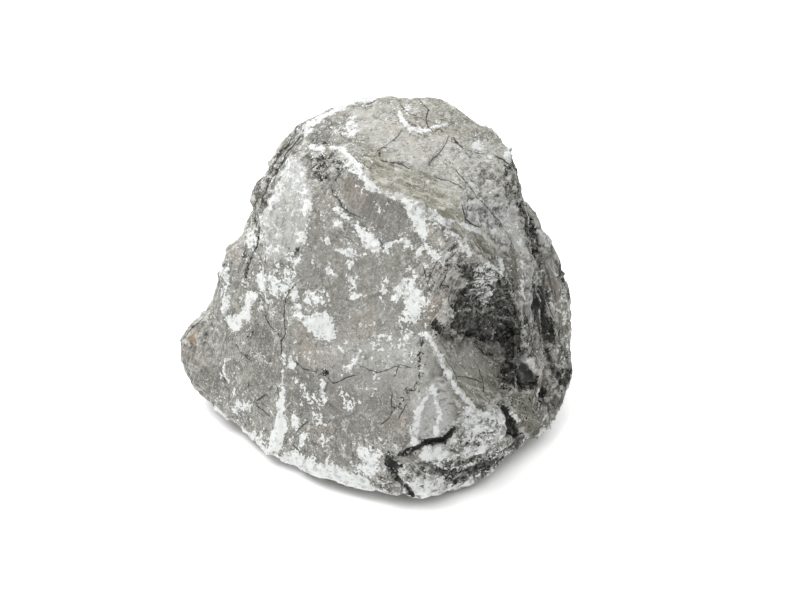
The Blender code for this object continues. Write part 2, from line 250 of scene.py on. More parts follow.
CALCITE_BANDS = {  # (cover, width, width of the ragged fringe, points)
    "slant": (0.5, 4.0, 5, [436, 256, 424, 268, 412, 282, 400, 294]),
    "slant two": (0.45, 3.0, 5, [420, 256, 412, 268, 404, 282]),
    "west streak": (0.6, 2.4, 3, [225, 360, 224, 375, 229, 384]),
    "dusting": (0.35, 5.0, 8, [300, 380, 320, 420, 330, 452]),
    "top left edge": (0.9, 6.0, 4, [306, 134, 312, 124, 325, 116, 341, 108, 360, 99, 374, 96]),
    "ridge above the plate": (0.92, 3.0, 4, [331, 149, 343, 151, 350, 158, 359, 165]),
    "ridge": (1.0, 3.8, 4, [361, 176, 368, 182, 373, 189]),
    "ridge along the plate": (0.56, 2.6, 4, [373, 189, 384, 192, 395, 197, 410, 203, 420, 208]),
    "ridge beside the gully": (0.62, 2.6, 5, [420, 208, 432, 212, 440, 217, 448, 228, 460, 242,
        470, 254]),
    "line to the blob": (0.85, 3.2, 3, [384, 252, 389, 245, 395, 241, 402, 243]),
    "white ridge top": (0.95, 2.8, 1, [427, 334, 435, 346, 441, 359, 447, 372]),
    "white ridge low": (1.0, 4.4, 2, [447, 372, 453, 384, 463, 398, 475, 409, 484, 416]),
    "upright": (0.6, 2.6, 2, [284, 352, 283, 372, 283, 398]),
    "fan vein west": (1.1, 3.6, 1, [432, 386, 426, 398, 420, 408]),
    "fan vein west foot": (1.0, 5.6, 2, [420, 408, 417, 421, 415, 435, 415, 444]),
    "fan vein east": (1.1, 3.6, 1, [434, 390, 437, 403, 440, 415, 437, 426, 436, 434]),
    "bottom rim west": (0.85, 6.0, 4, [214, 410, 226, 420, 239, 430, 255, 443, 266, 450, 285, 461]),
    "bottom rim": (1.0, 13.0, 5, [285, 461, 297, 468, 316, 470, 332, 472, 348, 478, 366, 488]),
    "bottom rim east": (0.8, 5.0, 5, [366, 488, 380, 493, 396, 497, 430, 497, 452, 490, 470, 483]),
    "scar": (1.0, 3.2, 2, [399, 113, 403, 121, 409, 127, 416, 131]),
    "scar to the right": (0.8, 2.6, 3, [427, 131, 436, 127, 446, 124]),
    "right facet top": (0.6, 3.0, 6, [462, 205, 474, 203, 490, 204, 504, 203, 514, 206]),
    "below the chip": (0.85, 3.4, 3, [463, 224, 470, 228, 478, 232]),
    "gash rim": (0.8, 4.0, 3, [504, 406, 510, 412, 518, 421]),
    "toe strata": (0.58, 2.2, 3, [436, 465, 456, 470, 478, 462, 494, 456, 506, 444]),
    "toe strata low": (0.46, 3.0, 4, [430, 474, 452, 486, 474, 478, 494, 466, 510, 450]),
    "heel foot": (0.58, 2.6, 3, [552, 420, 547, 432, 536, 442, 522, 446]),
    "leaf edge": (0.6, 2.4, 3, [517, 364, 522, 360, 530, 360, 534, 368, 535, 376]),
}
THREADS = {  # (width, points): lines of calcite thinner than the mesh's grid
    "pale one": (1.3, [452, 246, 446, 258, 438, 280, 430, 298, 427, 306]),
    "pale two": (1.4, [449, 296, 442, 308, 435, 317, 430, 324]),
    "fan loop": (3.0, [431, 384, 437, 383, 443, 385, 448, 381]),
    "fan thread": (1.4, [441, 390, 438, 402]),
    "upright": (2.0, [283, 361, 283, 378, 283, 397]),
    "loop": (1.6, [292, 394, 290, 403, 286, 405, 285, 411, 287, 418, 291, 425]),
    "low streak": (1.8, [341, 442, 344, 456]),
    "crest": (1.4, [527, 252, 532, 263, 530, 287, 531, 303, 529, 322]),
    "crest low": (1.3, [505, 231, 514, 246, 522, 256]),
    "facet": (1.3, [456, 378, 470, 388, 488, 400]),
    "hollow edge": (1.4, [452, 298, 446, 312, 450, 326]),
    "west dash": (1.8, [252, 358, 258, 354, 263, 349]),
    "white ridge": (3.4, [427, 334, 435, 346, 441, 359, 447, 372, 450, 379]),
    "ridge line": (1.6, [373, 190, 384, 193, 396, 198, 410, 203, 420, 208, 432, 213, 440, 218, 449, 230,
        460, 243, 470, 255]),
    "right facet edge": (1.5, [503, 206, 510, 220, 518, 236, 526, 252]),
    "scratch one": (1.2, [446, 350, 456, 362, 468, 376]),
    "scratch two": (1.1, [452, 346, 466, 355, 480, 362]),
    "scratch three": (1.2, [470, 350, 484, 357, 500, 366]),
    "scratch four": (1.3, [460, 380, 476, 388, 492, 392]),
    "scratch five": (1.1, [474, 364, 486, 374, 497, 379]),
    "scratch six": (1.2, [452, 366, 462, 380, 476, 398]),
    "heel one": (0.9, [512, 398, 524, 402, 536, 412]),
    "heel two": (0.9, [520, 414, 532, 418, 542, 424]),
    "gully one": (1.2, [392, 166, 412, 180, 430, 190]),
    "gully two": (1.2, [436, 196, 452, 212, 464, 230]),
    "flank one": (1.2, [548, 262, 556, 276, 562, 292]),
    "flank two": (1.3, [538, 288, 546, 300, 552, 318]),
}
DARK_PATCHES = {  # (cover, width of the ragged fringe, corners)
    "hollow top left": (1.0, 4, [457, 266, 468, 263, 473, 270, 474, 284, 470, 296, 474, 308, 462, 310,
        451, 302, 458, 292, 466, 283]),
    "hollow": (0.62, 4, [472, 262, 492, 266, 500, 282, 496, 304, 484, 314, 472, 308, 470, 290]),
    "hollow right": (0.93, 5, [496, 268, 503, 274, 508, 286, 514, 303, 517, 318, 504, 320, 488, 314,
        492, 296, 494, 284]),
    "hollow low": (0.98, 4, [451, 298, 456, 304, 466, 310, 486, 312, 500, 318, 516, 322, 520, 334,
        504, 342, 486, 343, 472, 338, 456, 334, 449, 326, 454, 312]),
    "knot one": (1.1, 3, [427, 321, 435, 319, 446, 328, 442, 334, 434, 330]),
    "knot two": (0.9, 2, [434, 332, 442, 331, 442, 336, 435, 336]),
    "knot three": (0.8, 2, [451, 334, 458, 333, 457, 338, 452, 338]),
    # dark mineral, and painted shade in the sunken valley by the heel
    "valley": (1.0, 5, [503, 368, 511, 358, 518, 367, 525, 379, 532, 380, 536, 370, 542, 384, 548, 390,
        545, 404, 540, 406, 535, 396, 530, 386, 516, 387, 503, 388, 499, 380]),
    "valley above": (0.52, 7, [507, 344, 520, 334, 530, 346, 524, 358, 510, 360]),
    "cleft": (0.95, 4, [518, 202, 526, 205, 530, 216, 538, 233, 540, 246, 538, 258, 544, 264, 540, 268,
        530, 256, 526, 238, 522, 222]),
    "flank": (1.1, 6, [532, 284, 544, 284, 548, 296, 548, 312, 556, 330, 554, 345, 542, 342, 534, 322,
        531, 304]),
    "flank edge": (1.1, 3, [531, 292, 536, 294, 537, 310, 532, 314]),
    "flank groove": (0.95, 4, [541, 343, 548, 348, 556, 366, 566, 382, 562, 388, 554, 378, 546, 362]),
    "flank foot": (0.86, 7, [563, 368, 574, 366, 576, 384, 570, 396, 562, 392]),
    "toe crack mouth": (1.15, 3, [383, 454, 390, 453, 396, 462, 404, 465, 398, 470, 398, 480, 392, 474,
        385, 464]),
    "toe crack middle": (1.15, 2, [428, 440, 440, 437, 450, 434, 447, 445, 438, 442, 429, 445]),
    "gash": (1.15, 3, [498, 403, 506, 405, 512, 414, 518, 424, 518, 440, 510, 438, 505, 428, 503, 416]),
    # dark mineral, and painted shade in the sunken valley by the heel
    "valley left": (0.9, 4, [505, 346, 516, 350, 512, 366, 518, 380, 534, 384, 534, 391, 500, 389,
        500, 376]),
    "pit": (0.62, 3, [314, 368, 321, 367, 328, 370, 327, 376, 318, 376]),
    "foot of the fin": (0.54, 7, [514, 306, 530, 312, 536, 340, 530, 356, 516, 346]),
    "strata": (0.72, 7, [438, 463, 500, 452, 503, 460, 472, 478, 442, 478]),
    "fin": (0.42, 5, [506, 266, 512, 268, 519, 300, 522, 322, 514, 314, 508, 290]),
    "heel": (0.26, 6, [506, 394, 528, 390, 546, 412, 540, 432, 520, 434, 512, 416]),
    "west patch": (0.3, 8, [240, 322, 264, 320, 266, 334, 246, 338]),
    "west spot": (0.4, 3, [241, 352, 246, 352, 250, 359, 244, 358]),
    "shoulder cleft": (0.38, 6, [246, 240, 258, 234, 258, 250, 250, 264, 246, 276, 242, 262]),
    "blue spots": (0.6, 4, [292, 250, 300, 246, 303, 258, 296, 260]),
    "under the high white": (0.7, 3, [310, 139, 334, 141, 334, 145, 310, 144]),
    "high pocket": (0.72, 7, [319, 156, 328, 155, 328, 170, 322, 180, 316, 178]),
    "high mottle": (0.48, 10, [306, 158, 336, 152, 350, 166, 340, 178, 316, 182]),
    "top pocket": (0.62, 5, [374, 150, 384, 146, 383, 158, 377, 158]),
    "top right edge": (0.95, 3, [512, 158, 516, 162, 522, 178, 518, 178, 512, 168]),
    "top right hole": (0.85, 4, [502, 166, 510, 165, 510, 174, 504, 176]),
    "top right slot": (0.62, 5, [502, 182, 508, 182, 512, 196, 508, 200, 504, 192]),
    "top right strand": (0.62, 4, [514, 182, 519, 184, 520, 200, 516, 198]),
    "right spot": (0.8, 3, [478, 173, 486, 173, 486, 177, 479, 176]),
    "right facet patch": (0.6, 4, [487, 203, 494, 204, 494, 212, 488, 210]),
    "toe wedge": (0.34, 6, [420, 463, 428, 464, 432, 478, 424, 480]),
    "toe under": (0.6, 6, [374, 470, 392, 478, 394, 496, 380, 490]),
    "toe spot": (1.15, 3, [453, 478, 459, 480, 459, 488, 454, 486]),
    "crust dark": (0.56, 7, [454, 432, 478, 426, 496, 436, 488, 450, 458, 450]),
    # painted shade under the heel, laid on with the dark growth
    "heel shade": (0.62, 5, [505, 440, 522, 438, 540, 435, 548, 430, 550, 436, 538, 448, 520, 458,
        504, 460]),
    "strata right": (0.6, 6, [470, 462, 500, 448, 524, 444, 508, 466, 480, 484, 460, 486]),
    "back slab foot": (0.8, 4, [251, 204, 256, 206, 256, 222, 252, 224]),
    "back slab streaks": (0.38, 7, [283, 148, 306, 126, 312, 128, 296, 148, 280, 172, 266, 200, 256, 214,
        256, 196, 268, 172]),
    "below the slab": (0.3, 8, [424, 262, 446, 256, 452, 270, 444, 290, 430, 286, 422, 274]),
}
DARK_BANDS = {  # (cover, width, width of the ragged fringe, points)
    "toe crack": (1.15, 5.0, 2, [453, 429, 449, 436, 438, 440, 426, 443, 415, 448, 408, 452, 402, 455]),
    "toe crack foot": (1.15, 4.4, 3, [397, 478, 405, 487, 413, 496]),
    "strata one": (1.0, 4.6, 3, [435, 466, 446, 473, 461, 473, 479, 467, 500, 460]),
    "strata two": (1.0, 3.4, 3, [454, 482, 470, 477, 484, 470, 504, 458]),
    "strata four": (1.0, 2.6, 2, [470, 470, 486, 460, 502, 450, 516, 440]),
    "strata three": (0.8, 2.4, 2, [404, 474, 420, 484, 436, 492]),
    "facet edge": (0.85, 2.4, 2, [473, 341, 478, 347, 484, 354, 493, 355]),
    "crack at the shoulder": (1.0, 2.2, 2, [261, 227, 257, 246, 250, 259, 247, 269, 246, 279]),
    "dotted seam": (0.62, 3.4, 4, [424, 336, 421, 348, 420, 358, 418, 370, 421, 377]),
    "dotted slope": (0.55, 3.4, 5, [418, 384, 408, 391, 402, 402, 394, 410]),
    "flank line": (0.75, 3.0, 4, [558, 328, 560, 344, 566, 356]),
    "right contour": (0.7, 2.6, 3, [556, 262, 564, 282, 571, 296]),
}
CRACKS = {  # (width, points): dark lines thinner than the mesh's grid, cut into the surface
    "front": (1.2, [294, 286, 289, 291, 286, 299, 285, 308, 284, 320, 285, 333, 282, 341, 281, 356,
        284, 360]),
    "front branch": (1.0, [265, 315, 270, 326, 278, 334, 281, 341]),
    "front foot": (1.2, [277, 388, 278, 397]),
    "shoulder": (1.2, [265, 255, 266, 264]),
    "across one": (1.2, [296, 362, 304, 369, 314, 371]),
    "across two": (1.1, [328, 378, 333, 384, 346, 378, 356, 375]),
    "across three": (1.0, [360, 365, 369, 370, 378, 373, 389, 369, 399, 366]),
    "across four": (0.9, [403, 365, 409, 367, 416, 368]),
    "down one": (1.0, [398, 368, 395, 376]),
    "down two": (1.0, [392, 394, 391, 410]),
    "down three": (1.1, [406, 405, 399, 418]),
    "slope": (1.1, [395, 407, 388, 419, 380, 425]),
    "plate edge": (1.0, [331, 188, 332, 193, 340, 202, 343, 208, 350, 213, 359, 217]),
    "slit one": (1.8, [299, 430, 307, 422]),
    "slit two": (1.7, [257, 401, 265, 395]),
    "slit three": (1.5, [294, 446, 299, 451]),
    "slit four": (1.2, [246, 388, 249, 384]),
    "slit five": (1.2, [257, 407, 269, 416]),
    "top one": (0.8, [355, 159, 366, 166, 378, 172]),
    "top two": (0.8, [378, 150, 388, 144, 396, 138, 402, 130]),
    "top three": (1.3, [428, 126, 434, 133, 439, 129, 442, 131]),
    "top four": (1.2, [420, 101, 424, 105, 429, 110, 426, 116, 428, 126]),
    "top five": (1.7, [454, 140, 461, 147]),
    "top six": (0.9, [448, 139, 446, 144, 439, 154, 431, 160]),
    "top seven": (1.0, [469, 151, 484, 154]),
    "top eight": (0.9, [456, 171, 462, 178, 469, 187, 475, 195, 484, 205]),
    "top nine": (1.8, [498, 157, 503, 159, 509, 165, 516, 171, 520, 178]),
    "top ten": (0.9, [437, 178, 446, 180, 454, 183, 462, 188]),
    "top eleven": (1.0, [382, 160, 398, 164, 410, 169]),
    "top twelve": (0.9, [364, 106, 372, 102, 380, 99]),
    "top thirteen": (0.9, [401, 106, 408, 112, 414, 115]),
    "chip": (1.1, [462, 207, 466, 218, 470, 224, 480, 228]),
    "right facet": (0.8, [495, 223, 505, 232, 514, 246]),
    "right facet two": (0.8, [484, 205, 494, 216, 502, 224]),
    "hollow strand": (1.6, [446, 275, 443, 281, 441, 286]),
    "hollow strand two": (1.2, [424, 268, 426, 280, 430, 290]),
    "hollow strand three": (1.0, [436, 262, 430, 276, 427, 286]),
    "facet one": (1.0, [458, 376, 466, 377, 480, 382]),
    "facet two": (0.9, [478, 366, 482, 378, 484, 392]),
    "facet three": (0.9, [446, 358, 454, 372, 462, 388]),
    "back slab one": (1.2, [304, 131, 290, 148, 276, 174, 262, 204]),
    "back slab two": (1.2, [296, 132, 282, 152, 268, 180]),
    "plate foot": (0.8, [380, 240, 384, 250]),
    "west": (0.9, [236, 344, 240, 352, 250, 360]),
    "contour": (1.0, [179, 348, 184, 340, 194, 327, 206, 317]),
}
TINTS = {  # for each change of colour: (how far, width of the soft edge, corners)
    "olive": [
        (0.6, 9, [466, 202, 514, 206, 526, 250, 500, 256, 474, 228]),
        (0.6, 9, [546, 300, 572, 300, 574, 420, 548, 420, 540, 380, 556, 350]),
        (0.5, 14, [340, 112, 400, 98, 470, 100, 510, 140, 516, 200, 470, 206, 430, 200, 372, 160]),
        (0.95, 6, [364, 150, 388, 158, 420, 172, 456, 196, 462, 208, 468, 222, 486, 236, 500, 256,
            503, 268, 490, 264, 474, 256, 462, 240, 448, 224, 440, 214, 420, 205, 396, 194, 375, 186,
            362, 170]),
        (0.55, 10, [352, 112, 390, 102, 406, 128, 400, 150, 372, 140, 356, 134]),
        (0.95, 4, [434, 338, 474, 342, 484, 354, 505, 350, 506, 370, 499, 392, 491, 406, 472, 404,
            456, 388, 444, 364]),
        (0.9, 5, [500, 392, 529, 388, 537, 401, 547, 413, 550, 421, 545, 430, 535, 440, 519, 438,
            517, 423, 509, 409]),
        (0.5, 6, [504, 256, 522, 258, 522, 300, 514, 296]),
        (0.5, 6, [540, 374, 556, 374, 558, 388, 546, 388]),
        (0.55, 6, [440, 458, 484, 458, 480, 466, 444, 470]),
    ],
    "brown": [
        (0.75, 9, [300, 332, 316, 342, 334, 352, 330, 366, 306, 366, 298, 350]),
        (0.42, 7, [334, 184, 352, 174, 366, 184, 372, 200, 360, 212, 344, 204]),
        (0.4, 10, [350, 316, 372, 312, 378, 336, 362, 344, 350, 336]),
        (0.55, 8, [250, 184, 264, 170, 276, 160, 270, 190, 258, 210, 252, 206]),
        (0.55, 9, [184, 342, 200, 340, 204, 356, 192, 362, 184, 356]),
        (0.45, 8, [318, 422, 330, 424, 330, 444, 318, 442]),
        (0.45, 7, [545, 276, 559, 276, 558, 294, 548, 292]),
        (0.45, 8, [228, 244, 240, 244, 238, 260, 228, 262]),
        (0.8, 5, [424, 296, 448, 290, 446, 322, 430, 330, 424, 320]),
        (0.55, 6, [519, 205, 529, 208, 532, 222, 524, 222]),
        (0.4, 7, [398, 416, 410, 414, 408, 436, 398, 440]),
        (0.35, 12, [380, 130, 400, 110, 440, 140, 420, 160]),
        (0.5, 6, [486, 456, 504, 450, 506, 460, 490, 466]),
    ],
    "rust": [
        (1.0, 5, [191, 333, 197, 333, 198, 341, 192, 342]),
    ],
    # Paler stone, and painted light on faces in shade, such as the right facet, the facet below the
    # hollow and the leaf slab.
    "pale": [
        (0.95, 7, [430, 380, 446, 384, 452, 400, 450, 440, 412, 446, 412, 400]),
        (1.0, 8, [463, 202, 515, 204, 528, 250, 502, 254, 470, 228]),
        (0.6, 12, [440, 160, 500, 155, 506, 200, 470, 204, 440, 185]),
        (1.0, 7, [285, 160, 303, 164, 312, 196, 310, 220, 300, 246, 286, 258, 262, 262, 260, 236,
            262, 220, 276, 192]),
        (0.48, 8, [350, 112, 392, 100, 408, 130, 440, 136, 440, 160, 400, 160, 366, 142]),
        (0.85, 5, [500, 207, 515, 208, 522, 224, 527, 246, 519, 250, 505, 234]),
        (0.45, 6, [521, 262, 529, 264, 529, 290, 521, 300]),
        (0.5, 12, [300, 352, 340, 340, 430, 338, 432, 390, 360, 394, 320, 380]),
        (0.6, 10, [392, 138, 470, 136, 506, 150, 500, 168, 440, 172, 392, 172]),
        (0.95, 3, [516, 360, 531, 358, 537, 372, 532, 380, 522, 378]),
        (0.4, 8, [436, 340, 470, 344, 486, 366, 470, 384, 448, 366]),
        (0.35, 6, [424, 344, 434, 350, 444, 374, 430, 378, 424, 362]),
    ],
    # Painted shade on faces turned from the lamp and in hollows, partly darker stone; out of sight,
    # darker patches at random.
    "shade_and_dark_tone": [
        (1.0, 8, [432, 206, 452, 212, 466, 234, 484, 244, 496, 262, 478, 258, 452, 230, 438, 216]),
        (0.5, 6, [336, 184, 358, 174, 372, 192, 396, 200, 410, 210, 406, 232, 388, 248, 380, 238,
            360, 218, 344, 206]),
        (0.9, 7, [254, 184, 272, 156, 300, 130, 320, 116, 310, 130, 290, 156, 270, 194, 256, 224,
            251, 206]),
        (0.55, 9, [312, 140, 318, 129, 327, 127, 334, 142, 330, 160, 316, 178, 304, 166]),
        (1.0, 7, [500, 392, 530, 388, 548, 414, 550, 422, 544, 432, 534, 440, 518, 438, 508, 408]),
        (1.0, 7, [534, 268, 550, 268, 556, 300, 562, 330, 560, 352, 540, 340, 531, 310]),
        (0.9, 12, [548, 340, 572, 340, 574, 390, 562, 420, 548, 412, 546, 372]),
        (1.0, 7, [430, 462, 480, 460, 506, 452, 500, 468, 470, 486, 450, 488, 430, 470]),
        (0.45, 16, [300, 360, 400, 370, 396, 440, 320, 440, 296, 400]),
        (0.5, 6, [500, 176, 520, 178, 520, 200, 506, 196]),
        (1.0, 6, [505, 258, 520, 264, 524, 300, 526, 330, 512, 306]),
        (0.5, 8, [240, 322, 274, 326, 272, 344, 244, 342]),
        (0.9, 7, [512, 302, 530, 304, 538, 336, 544, 366, 534, 372, 518, 344]),
        (0.45, 6, [422, 290, 450, 288, 446, 324, 430, 334, 420, 322]),
        (0.4, 7, [462, 378, 500, 372, 498, 394, 490, 406, 474, 404]),
        (0.8, 7, [505, 436, 548, 428, 550, 438, 520, 458, 500, 462]),
    ],
    "speckled": [
        (1.0, 8, [242, 228, 260, 224, 262, 242, 256, 254, 244, 252]),
        (0.9, 9, [304, 150, 332, 152, 352, 166, 344, 180, 318, 184, 306, 170]),
        (0.7, 12, [466, 150, 500, 156, 512, 190, 506, 204, 474, 200, 452, 180]),
        (0.9, 7, [474, 262, 500, 272, 508, 300, 498, 320, 470, 312, 452, 306, 462, 280]),
        (0.8, 8, [452, 424, 476, 420, 504, 430, 500, 448, 484, 456, 454, 448]),
        (0.8, 8, [228, 400, 250, 396, 254, 412, 244, 420, 230, 414]),
        (0.7, 7, [376, 468, 392, 474, 396, 496, 378, 490]),
        (0.6, 10, [556, 360, 576, 366, 570, 396, 556, 400]),
        (0.6, 8, [252, 184, 276, 152, 296, 134, 288, 158, 268, 194, 256, 222]),
        (0.6, 8, [414, 334, 426, 334, 426, 346, 416, 346]),
        (0.6, 8, [508, 346, 526, 340, 528, 358, 508, 372]),
        (0.45, 14, [182, 326, 216, 312, 230, 340, 212, 372, 190, 368]),
    ],
}
CLEAN_PATCHES = [  # (how clean, width of the soft edge, corners): faces where nothing dark grows
    (1.0, 3, [517, 362, 522, 359, 531, 360, 535, 371, 532, 378, 524, 376, 519, 370]),
    (0.9, 2, [524, 252, 530, 256, 533, 266, 531, 286, 532, 302, 530, 322, 528, 322, 528, 286]),
]
SMOOTH_FACETS = [  # (how calm, width of the soft edge, corners): flat faces with little relief
    (0.55, 5, [352, 114, 392, 104, 405, 130, 398, 148, 374, 140, 356, 130]),
    (0.5, 5, [406, 138, 440, 140, 446, 160, 430, 172, 404, 160]),
    (0.85, 4, [536, 262, 556, 262, 562, 290, 560, 322, 548, 316, 540, 288]),
    (0.8, 4, [516, 360, 532, 358, 536, 378, 522, 378]),
    (0.85, 5, [505, 256, 521, 258, 526, 284, 527, 304, 514, 302, 508, 280]),
    (0.95, 5, [334, 186, 356, 175, 374, 192, 400, 200, 414, 210, 406, 234, 388, 248, 379, 240, 358, 218,
        344, 208]),
    (0.8, 6, [364, 150, 400, 162, 456, 196, 468, 222, 498, 254, 478, 254, 448, 222, 420, 204, 378, 186]),
    (0.85, 5, [436, 342, 474, 344, 504, 352, 498, 392, 488, 404, 470, 400, 450, 372]),
    (0.8, 6, [288, 166, 304, 170, 310, 206, 298, 246, 270, 252, 264, 226, 278, 196]),
    (0.9, 5, [500, 207, 516, 208, 526, 244, 528, 256, 512, 246, 498, 222]),
    (0.95, 5, [504, 390, 530, 388, 549, 414, 546, 428, 534, 438, 519, 436, 514, 420]),
    (0.85, 5, [514, 302, 530, 304, 537, 330, 548, 364, 538, 368, 524, 340]),
    (0.7, 7, [552, 292, 572, 296, 576, 330, 574, 362, 562, 366, 554, 330]),
    (0.9, 5, [430, 384, 444, 386, 456, 402, 458, 416, 446, 428, 426, 432, 420, 410]),
    (0.6, 20, [300, 220, 400, 240, 420, 300, 430, 420, 340, 440, 290, 380, 296, 300]),
    (0.8, 8, [430, 344, 444, 374, 452, 396, 450, 424, 416, 440, 412, 400]),
]
RIDGES = {  # (height in mm, reach, points): crests, and valleys where the height is negative
    "ridge from the peak": (0.9, 7, [332, 149, 349, 158, 362, 172, 373, 189, 396, 197, 420, 208, 440, 219,
        451, 232, 466, 248, 477, 260]),
    "plate edge": (-0.8, 4, [331, 186, 340, 202, 348, 214, 360, 222, 372, 238, 388, 250]),
    "plate front": (0.5, 5, [388, 250, 402, 240, 413, 226, 414, 209]),
    "white ridge": (0.9, 6, [427, 334, 440, 357, 449, 377, 463, 399, 480, 416]),
    "crest of the fin": (0.9, 6, [526, 250, 532, 264, 530, 287, 530, 322, 538, 342]),
    "edge of the hollow": (0.8, 6, [457, 262, 466, 283, 457, 295, 452, 309, 448, 330, 466, 338, 489, 343,
        506, 352, 505, 370, 499, 392]),
    "sheet edge": (0.7, 6, [281, 182, 270, 203, 261, 228, 262, 240]),
    "sheet right edge": (0.6, 6, [290, 160, 305, 170, 311, 195, 305, 231, 293, 256]),
    "top edge": (0.8, 6, [306, 140, 325, 120, 342, 112, 360, 101]),
    "scar": (0.7, 4, [399, 113, 407, 124, 420, 133, 430, 131]),
    "facet break": (0.5, 5, [388, 159, 420, 165, 440, 145, 464, 150]),
    "right facet top": (0.6, 6, [458, 202, 480, 205, 503, 204, 516, 208]),
    "chip rim": (0.5, 4, [463, 207, 469, 222, 480, 228, 492, 221]),
    "heel facet rim": (0.6, 6, [529, 388, 546, 412, 551, 421, 541, 440]),
    "toe rim": (0.6, 5, [458, 404, 482, 411, 503, 408, 507, 430, 499, 448]),
    "leaf slab": (0.6, 4, [516, 366, 521, 360, 531, 360, 535, 376]),
    "line of the heel": (-0.8, 5, [541, 342, 549, 358, 558, 374, 566, 386]),
    "cleft": (-0.9, 6, [522, 204, 530, 222, 537, 246, 541, 262]),
    "gully": (-0.5, 12, [372, 160, 404, 176, 440, 200, 470, 236, 492, 256]),
    "toe crack": (-1.0, 5, [453, 429, 438, 440, 415, 448, 396, 458]),
    "gash": (-1.2, 6, [500, 404, 508, 416, 513, 430]),
    "valley": (-1.0, 7, [510, 362, 506, 378, 534, 380, 540, 398]),
}
PUSHES = {  # (height in mm, reach, place): broad bumps, and dents where the height is negative
    "back slab": (3.0, 15, (252, 189)),
    "back slab top": (1.0, 12, (300, 120)),
    "below the back slab": (-2.4, 13, (237, 232)),
    "left flank": (-1.2, 8, (206, 306)),
    "left tooth": (1.8, 5, (217, 273)),
    "lobe": (1.2, 12, (186, 337)),
    "lobe foot": (0.8, 9, (192, 384)),
    "top right": (1.5, 13, (497, 130)),
    "right edge": (-1.8, 11, (547, 226)),
}
GRAINED = {  # (how strong, width of the soft edge, corners, line that the layers run along)
    "back slab": (0.8, 6, [248, 186, 258, 168, 276, 146, 310, 116, 350, 100, 368, 96, 343, 107, 325, 117,
        304, 137, 285, 160, 278, 184, 268, 199, 260, 220, 250, 226], [252, 226, 258, 196, 272, 166,
        296, 138, 322, 114, 366, 96]),
    "sheet": (0.32, 8, [285, 160, 303, 164, 312, 196, 310, 226, 292, 258, 266, 262, 260, 232, 276, 192],
        [258, 262, 274, 210, 290, 160]),
    "plate": (0.25, 6, [334, 185, 357, 173, 397, 196, 414, 208, 408, 231, 388, 248, 360, 219], [376, 180,
        362, 214, 356, 232]),
    "gully": (0.45, 8, [362, 148, 388, 159, 423, 165, 460, 202, 468, 222, 489, 236, 505, 270, 482, 270,
        451, 231, 425, 211, 397, 193, 368, 178], [364, 176, 396, 196, 420, 207, 441, 218, 452, 231,
        468, 250, 486, 270]),
    "beside the streak": (0.5, 10, [428, 212, 452, 230, 478, 260, 458, 268, 466, 283, 452, 298, 448, 330,
        430, 322, 414, 296, 400, 290, 424, 262, 438, 252], [478, 226, 442, 262, 404, 312]),
    "hollow right": (0.95, 7, [490, 268, 506, 282, 516, 310, 522, 334, 500, 342, 482, 332, 486, 300],
        [500, 262, 508, 300, 518, 342]),
    "hollow": (0.4, 7, [457, 262, 490, 268, 486, 300, 482, 332, 450, 334, 448, 310, 464, 290], [484, 262,
        470, 300, 462, 338]),
    "fin": (0.45, 6, [503, 255, 524, 252, 531, 300, 530, 345, 520, 340, 514, 310, 506, 282], [520, 246,
        529, 290, 531, 345]),
    "ramp of the fin": (0.7, 6, [520, 324, 534, 330, 552, 366, 560, 386, 545, 386, 530, 352], [528, 322,
        540, 350, 558, 386]),
    "flank": (0.7, 7, [533, 262, 560, 258, 574, 292, 578, 372, 562, 374, 546, 347, 533, 312], [545, 256,
        555, 296, 562, 340, 566, 386]),
    "heel rim": (0.95, 6, [548, 382, 576, 380, 570, 420, 552, 440, 524, 450, 518, 444, 544, 428,
        554, 414], [568, 380, 563, 403, 553, 422, 538, 438, 518, 450]),
    "toe": (1.0, 7, [396, 470, 416, 458, 440, 461, 480, 456, 504, 448, 516, 432, 526, 440, 508, 464,
        480, 482, 456, 494, 430, 501, 402, 498], [400, 474, 412, 490, 432, 497, 456, 490, 480, 474,
        506, 454, 524, 440]),
    "facet below the hollow": (0.22, 7, [434, 340, 474, 342, 506, 352, 500, 392, 491, 406, 470, 404,
        446, 368], [440, 342, 470, 372, 500, 402]),
    "foot": (0.6, 12, [342, 440, 392, 436, 396, 490, 350, 484], [364, 430, 369, 494]),
    "right facet": (0.22, 8, [463, 206, 515, 208, 528, 250, 512, 266, 486, 236], [484, 196, 500, 226,
        522, 262]),
    "left flank": (0.45, 14, [176, 340, 214, 300, 232, 260, 256, 240, 246, 300, 230, 360, 196, 384],
        [196, 390, 220, 320, 250, 240]),
    "top": (0.14, 14, [356, 116, 400, 100, 470, 100, 510, 150, 504, 200, 460, 200, 400, 160], [360, 110,
        430, 150, 510, 206]),
}

# ------------------------------------------------------------------------ the finish


def linear(red, green, blue):
    """A colour given as screen values from 0 to 255, as light."""
    light = [((value / 255 + 0.055) / 1.055) ** 2.4 for value in (red, green, blue)]
    return (*light, 1.0)


STONE_DEEP = linear(92, 92, 87)
STONE_DARK = linear(118, 117, 111)
STONE_LIGHT = linear(155, 153, 145)
STONE_PALE = linear(196, 195, 190)
STONE_PLAIN = linear(141, 139, 133)
